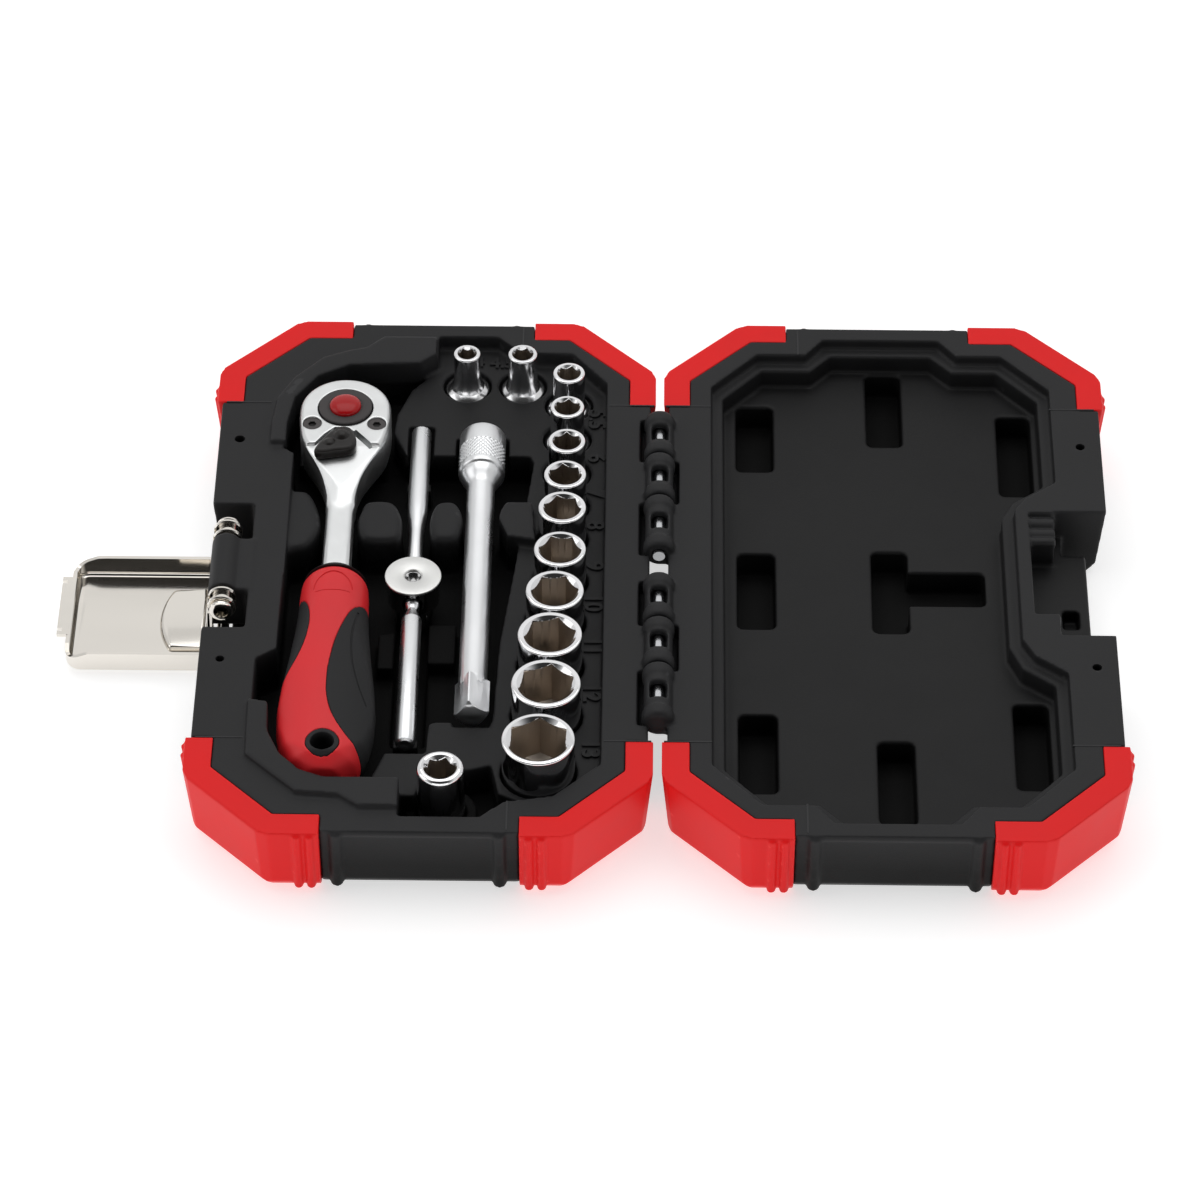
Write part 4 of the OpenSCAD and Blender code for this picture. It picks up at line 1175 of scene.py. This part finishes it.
def strip(name, path, thickness, low, high):
    """Bent strip: path is its middle line in (x, z), drawn out along y."""
    outer, inner = [], []
    for i, point in enumerate(path):
        along = heading(path, i)
        side = Vector((along.y, -along.x)) * thickness / 2
        outer.append((point[0] + side.x, point[1] + side.y))
        inner.append((point[0] - side.x, point[1] - side.y))
    return side_plate(name, outer + inner[::-1], low, high)


def side_plate(name, outline, low, high):
    """Plate with an outline in (x, z), from y = low to y = high."""
    bm = bmesh.new()
    skin(bm, [[bm.verts.new(at(x, y, z)) for x, z in outline] for y in (low, high)])
    return from_bmesh(name, bm)


def round_pin(name, centre, rings):
    """Hollow body whose rings stand along y instead of z."""
    made = hollow(name, (0, 0, 0), rings)
    turn = Matrix.Rotation(math.radians(-90), 4, "X")
    made.data.transform(Matrix.Translation(at(*centre)) @ turn @ Matrix.Translation(-at(0, 0, 0)))
    return made


def washer(name, pin, radius, bore, low, high, edge=0.25):
    rings = [
        (low, bore), (low, radius - edge), (low + edge, radius),
        (high - edge, radius), (high, radius - edge), (high, bore),
    ]
    return round_pin(name, pin, rings)


def latch_link():
    """Bent link: at each end a pair of curled cheeks with the pin showing between them."""
    parts = []
    for s in (1, -1):
        for near, far in ((10.2, 11.2), (13.4, 14.4)):
            y0, y1 = span(s, near, far)
            parts.append(washer("cheek", PIN_A, 3.6, 2.56, y0, y1))
            parts.append(washer("cheek", PIN_B, 2.8, 1.56, y0, y1))
            outline = [
                (-111.2, 4.6), (-110.2, 4.6), (-110.4, 12), (-110.1, 17.4), (-109.9, 18.6),
                (-111.2, 19.6), (-111.5, 12),
            ]
            parts.append(side_plate("cheek", outline, y0, y1))
        y0, y1 = span(s, 10.2, 14.4)
        parts.append(block("back", (-111.6, y0, 4.4), (-110.8, y1, 17.6)))
    parts.append(block("bridge", (-111.6, -14.4, 4.2), (-110.8, 14.4, 8.0)))
    link = join(parts[0], *parts[1:])
    link.name = "latch_bent_link"
    finished(link, "latch_link", "latch_nickel", ["latch_link"], angle=30)


def latch_pin():
    """Hollow pin with rolled ends."""
    rings = [
        (-16, 1.75), (-16.0, 2.5), (-15.7, 2.95), (-15.2, 3.0),
        (-14.9, 2.8), (-14.8, 2.5), (14.8, 2.5), (14.9, 2.8),
        (15.2, 3.0), (15.7, 2.95), (16, 2.5), (16, 1.75),
        (15.6, 1.6), (-15.6, 1.6),
    ]
    pin = round_pin("latch_hollow_pin", PIN_A, rings)
    finished(pin, "base", "latch_nickel", ["latch_pin"], angle=35)


base_case()
lid_case()
guards()
size_marks()
sockets()
bit_adapter()
sliding_bar()
t_head()
extension_bar()
ratchet_body()
reversing_lever()
release_button()
gear_ring()
grip()
latch_plate()
latch_link()
latch_pin()

# ---- camera, light, floor

VIEW_ELEVATION = math.radians(43.0)
VIEW_YAW = math.radians(0.63)
VIEW_ROLL = math.radians(0.14)
VIEW_DISTANCE = 1362
AIM_LEFT = 14.6
AIM_DOWN = 7.9
LENS = 164.8


def add_camera():
    back = Vector((
        math.sin(VIEW_YAW) * math.cos(VIEW_ELEVATION),
        -math.cos(VIEW_YAW) * math.cos(VIEW_ELEVATION),
        math.sin(VIEW_ELEVATION),
    ))
    level = Vector((math.cos(VIEW_YAW), math.sin(VIEW_YAW), 0))
    upright = back.cross(level)
    right = math.cos(VIEW_ROLL) * level + math.sin(VIEW_ROLL) * upright
    up = math.cos(VIEW_ROLL) * upright - math.sin(VIEW_ROLL) * level
    data = bpy.data.cameras.new("camera")
    data.lens = LENS
    data.sensor_width = 36
    data.clip_start = 0.05
    data.clip_end = 20
    camera = add_object("camera", data)
    aim = at(0, 0, RIM_Z) - right * AIM_LEFT * MM - up * AIM_DOWN * MM
    turn = Matrix((right, up, back)).transposed().to_4x4()
    camera.matrix_world = Matrix.Translation(aim + back * VIEW_DISTANCE * MM) @ turn
    bpy.context.scene.camera = camera


def add_softbox(name, place_m, aim_m, size_m, power):
    data = bpy.data.lights.new(name, "AREA")
    data.shape = "RECTANGLE"
    data.size = size_m[0]
    data.size_y = size_m[1]
    data.energy = power
    lamp = add_object(name, data)
    lamp.location = place_m
    lamp.rotation_mode = "QUATERNION"
    lamp.rotation_quaternion = (Vector(aim_m) - Vector(place_m)).to_track_quat("-Z", "Y")


def add_world():
    world = bpy.data.worlds.new("studio")
    bpy.context.scene.world = world
    world.use_nodes = True
    tree = world.node_tree
    background = tree.nodes["Background"]
    place = tree.nodes.new("ShaderNodeTexCoord")
    # the photographer's side, high up in front, is the only dark part of the studio
    toward = node(tree, "ShaderNodeVectorMath")
    toward.operation = "DOT_PRODUCT"
    toward.inputs[1].default_value = (0, -math.cos(VIEW_ELEVATION), math.sin(VIEW_ELEVATION))
    link(place, "Generated", toward, 0)
    wide, narrow = math.cos(math.radians(62)), math.cos(math.radians(24))
    dimmed = scaled(tree, toward.outputs["Value"], wide, narrow, 0.72, 0.03)
    dimmed.interpolation_type = "SMOOTHSTEP"
    link(dimmed, "Result", background, "Strength")
    background.inputs["Color"].default_value = (1, 1, 1, 1)


def add_floor():
    """White table that is lit from below as well, so that it stays bright round the case."""
    bm = bmesh.new()
    bmesh.ops.create_grid(bm, x_segments=1, y_segments=1, size=4)
    data = bpy.data.meshes.new("floor")
    bm.to_mesh(data)
    bm.free()
    floor = add_object("floor", data)
    floor.location = (0, 0, -0.0002)
    paper = material(
        "studio_table", (0.62, 0.62, 0.62), (0.5, 0.6), tint=0.0, grain=(200, 0.001), specular=0.1,
    )
    shader = paper.node_tree.nodes["Principled BSDF"]
    shader.inputs["Emission Color"].default_value = (1, 1, 1, 1)
    shader.inputs["Emission Strength"].default_value = 0.62
    data.materials.append(paper)


bpy.context.scene.view_settings.view_transform = "Standard"
add_camera()
add_world()
add_floor()
add_softbox("top_softbox", (0.05, 0.25, 1.1), (0.05, 0, 0), (1.3, 1.1), 5.0)
add_softbox("back_softbox", (0.05, 1.3, 0.8), (0.05, 0, 0), (1.6, 0.8), 0.7)
add_softbox("front_softbox", (0.05, -1.5, 0.35), (0.05, 0, 0), (2.0, 0.5), 4.0)
add_softbox("left_softbox", (-1.2, -0.1, 0.7), (0, 0, 0), (0.8, 0.9), 1.6)
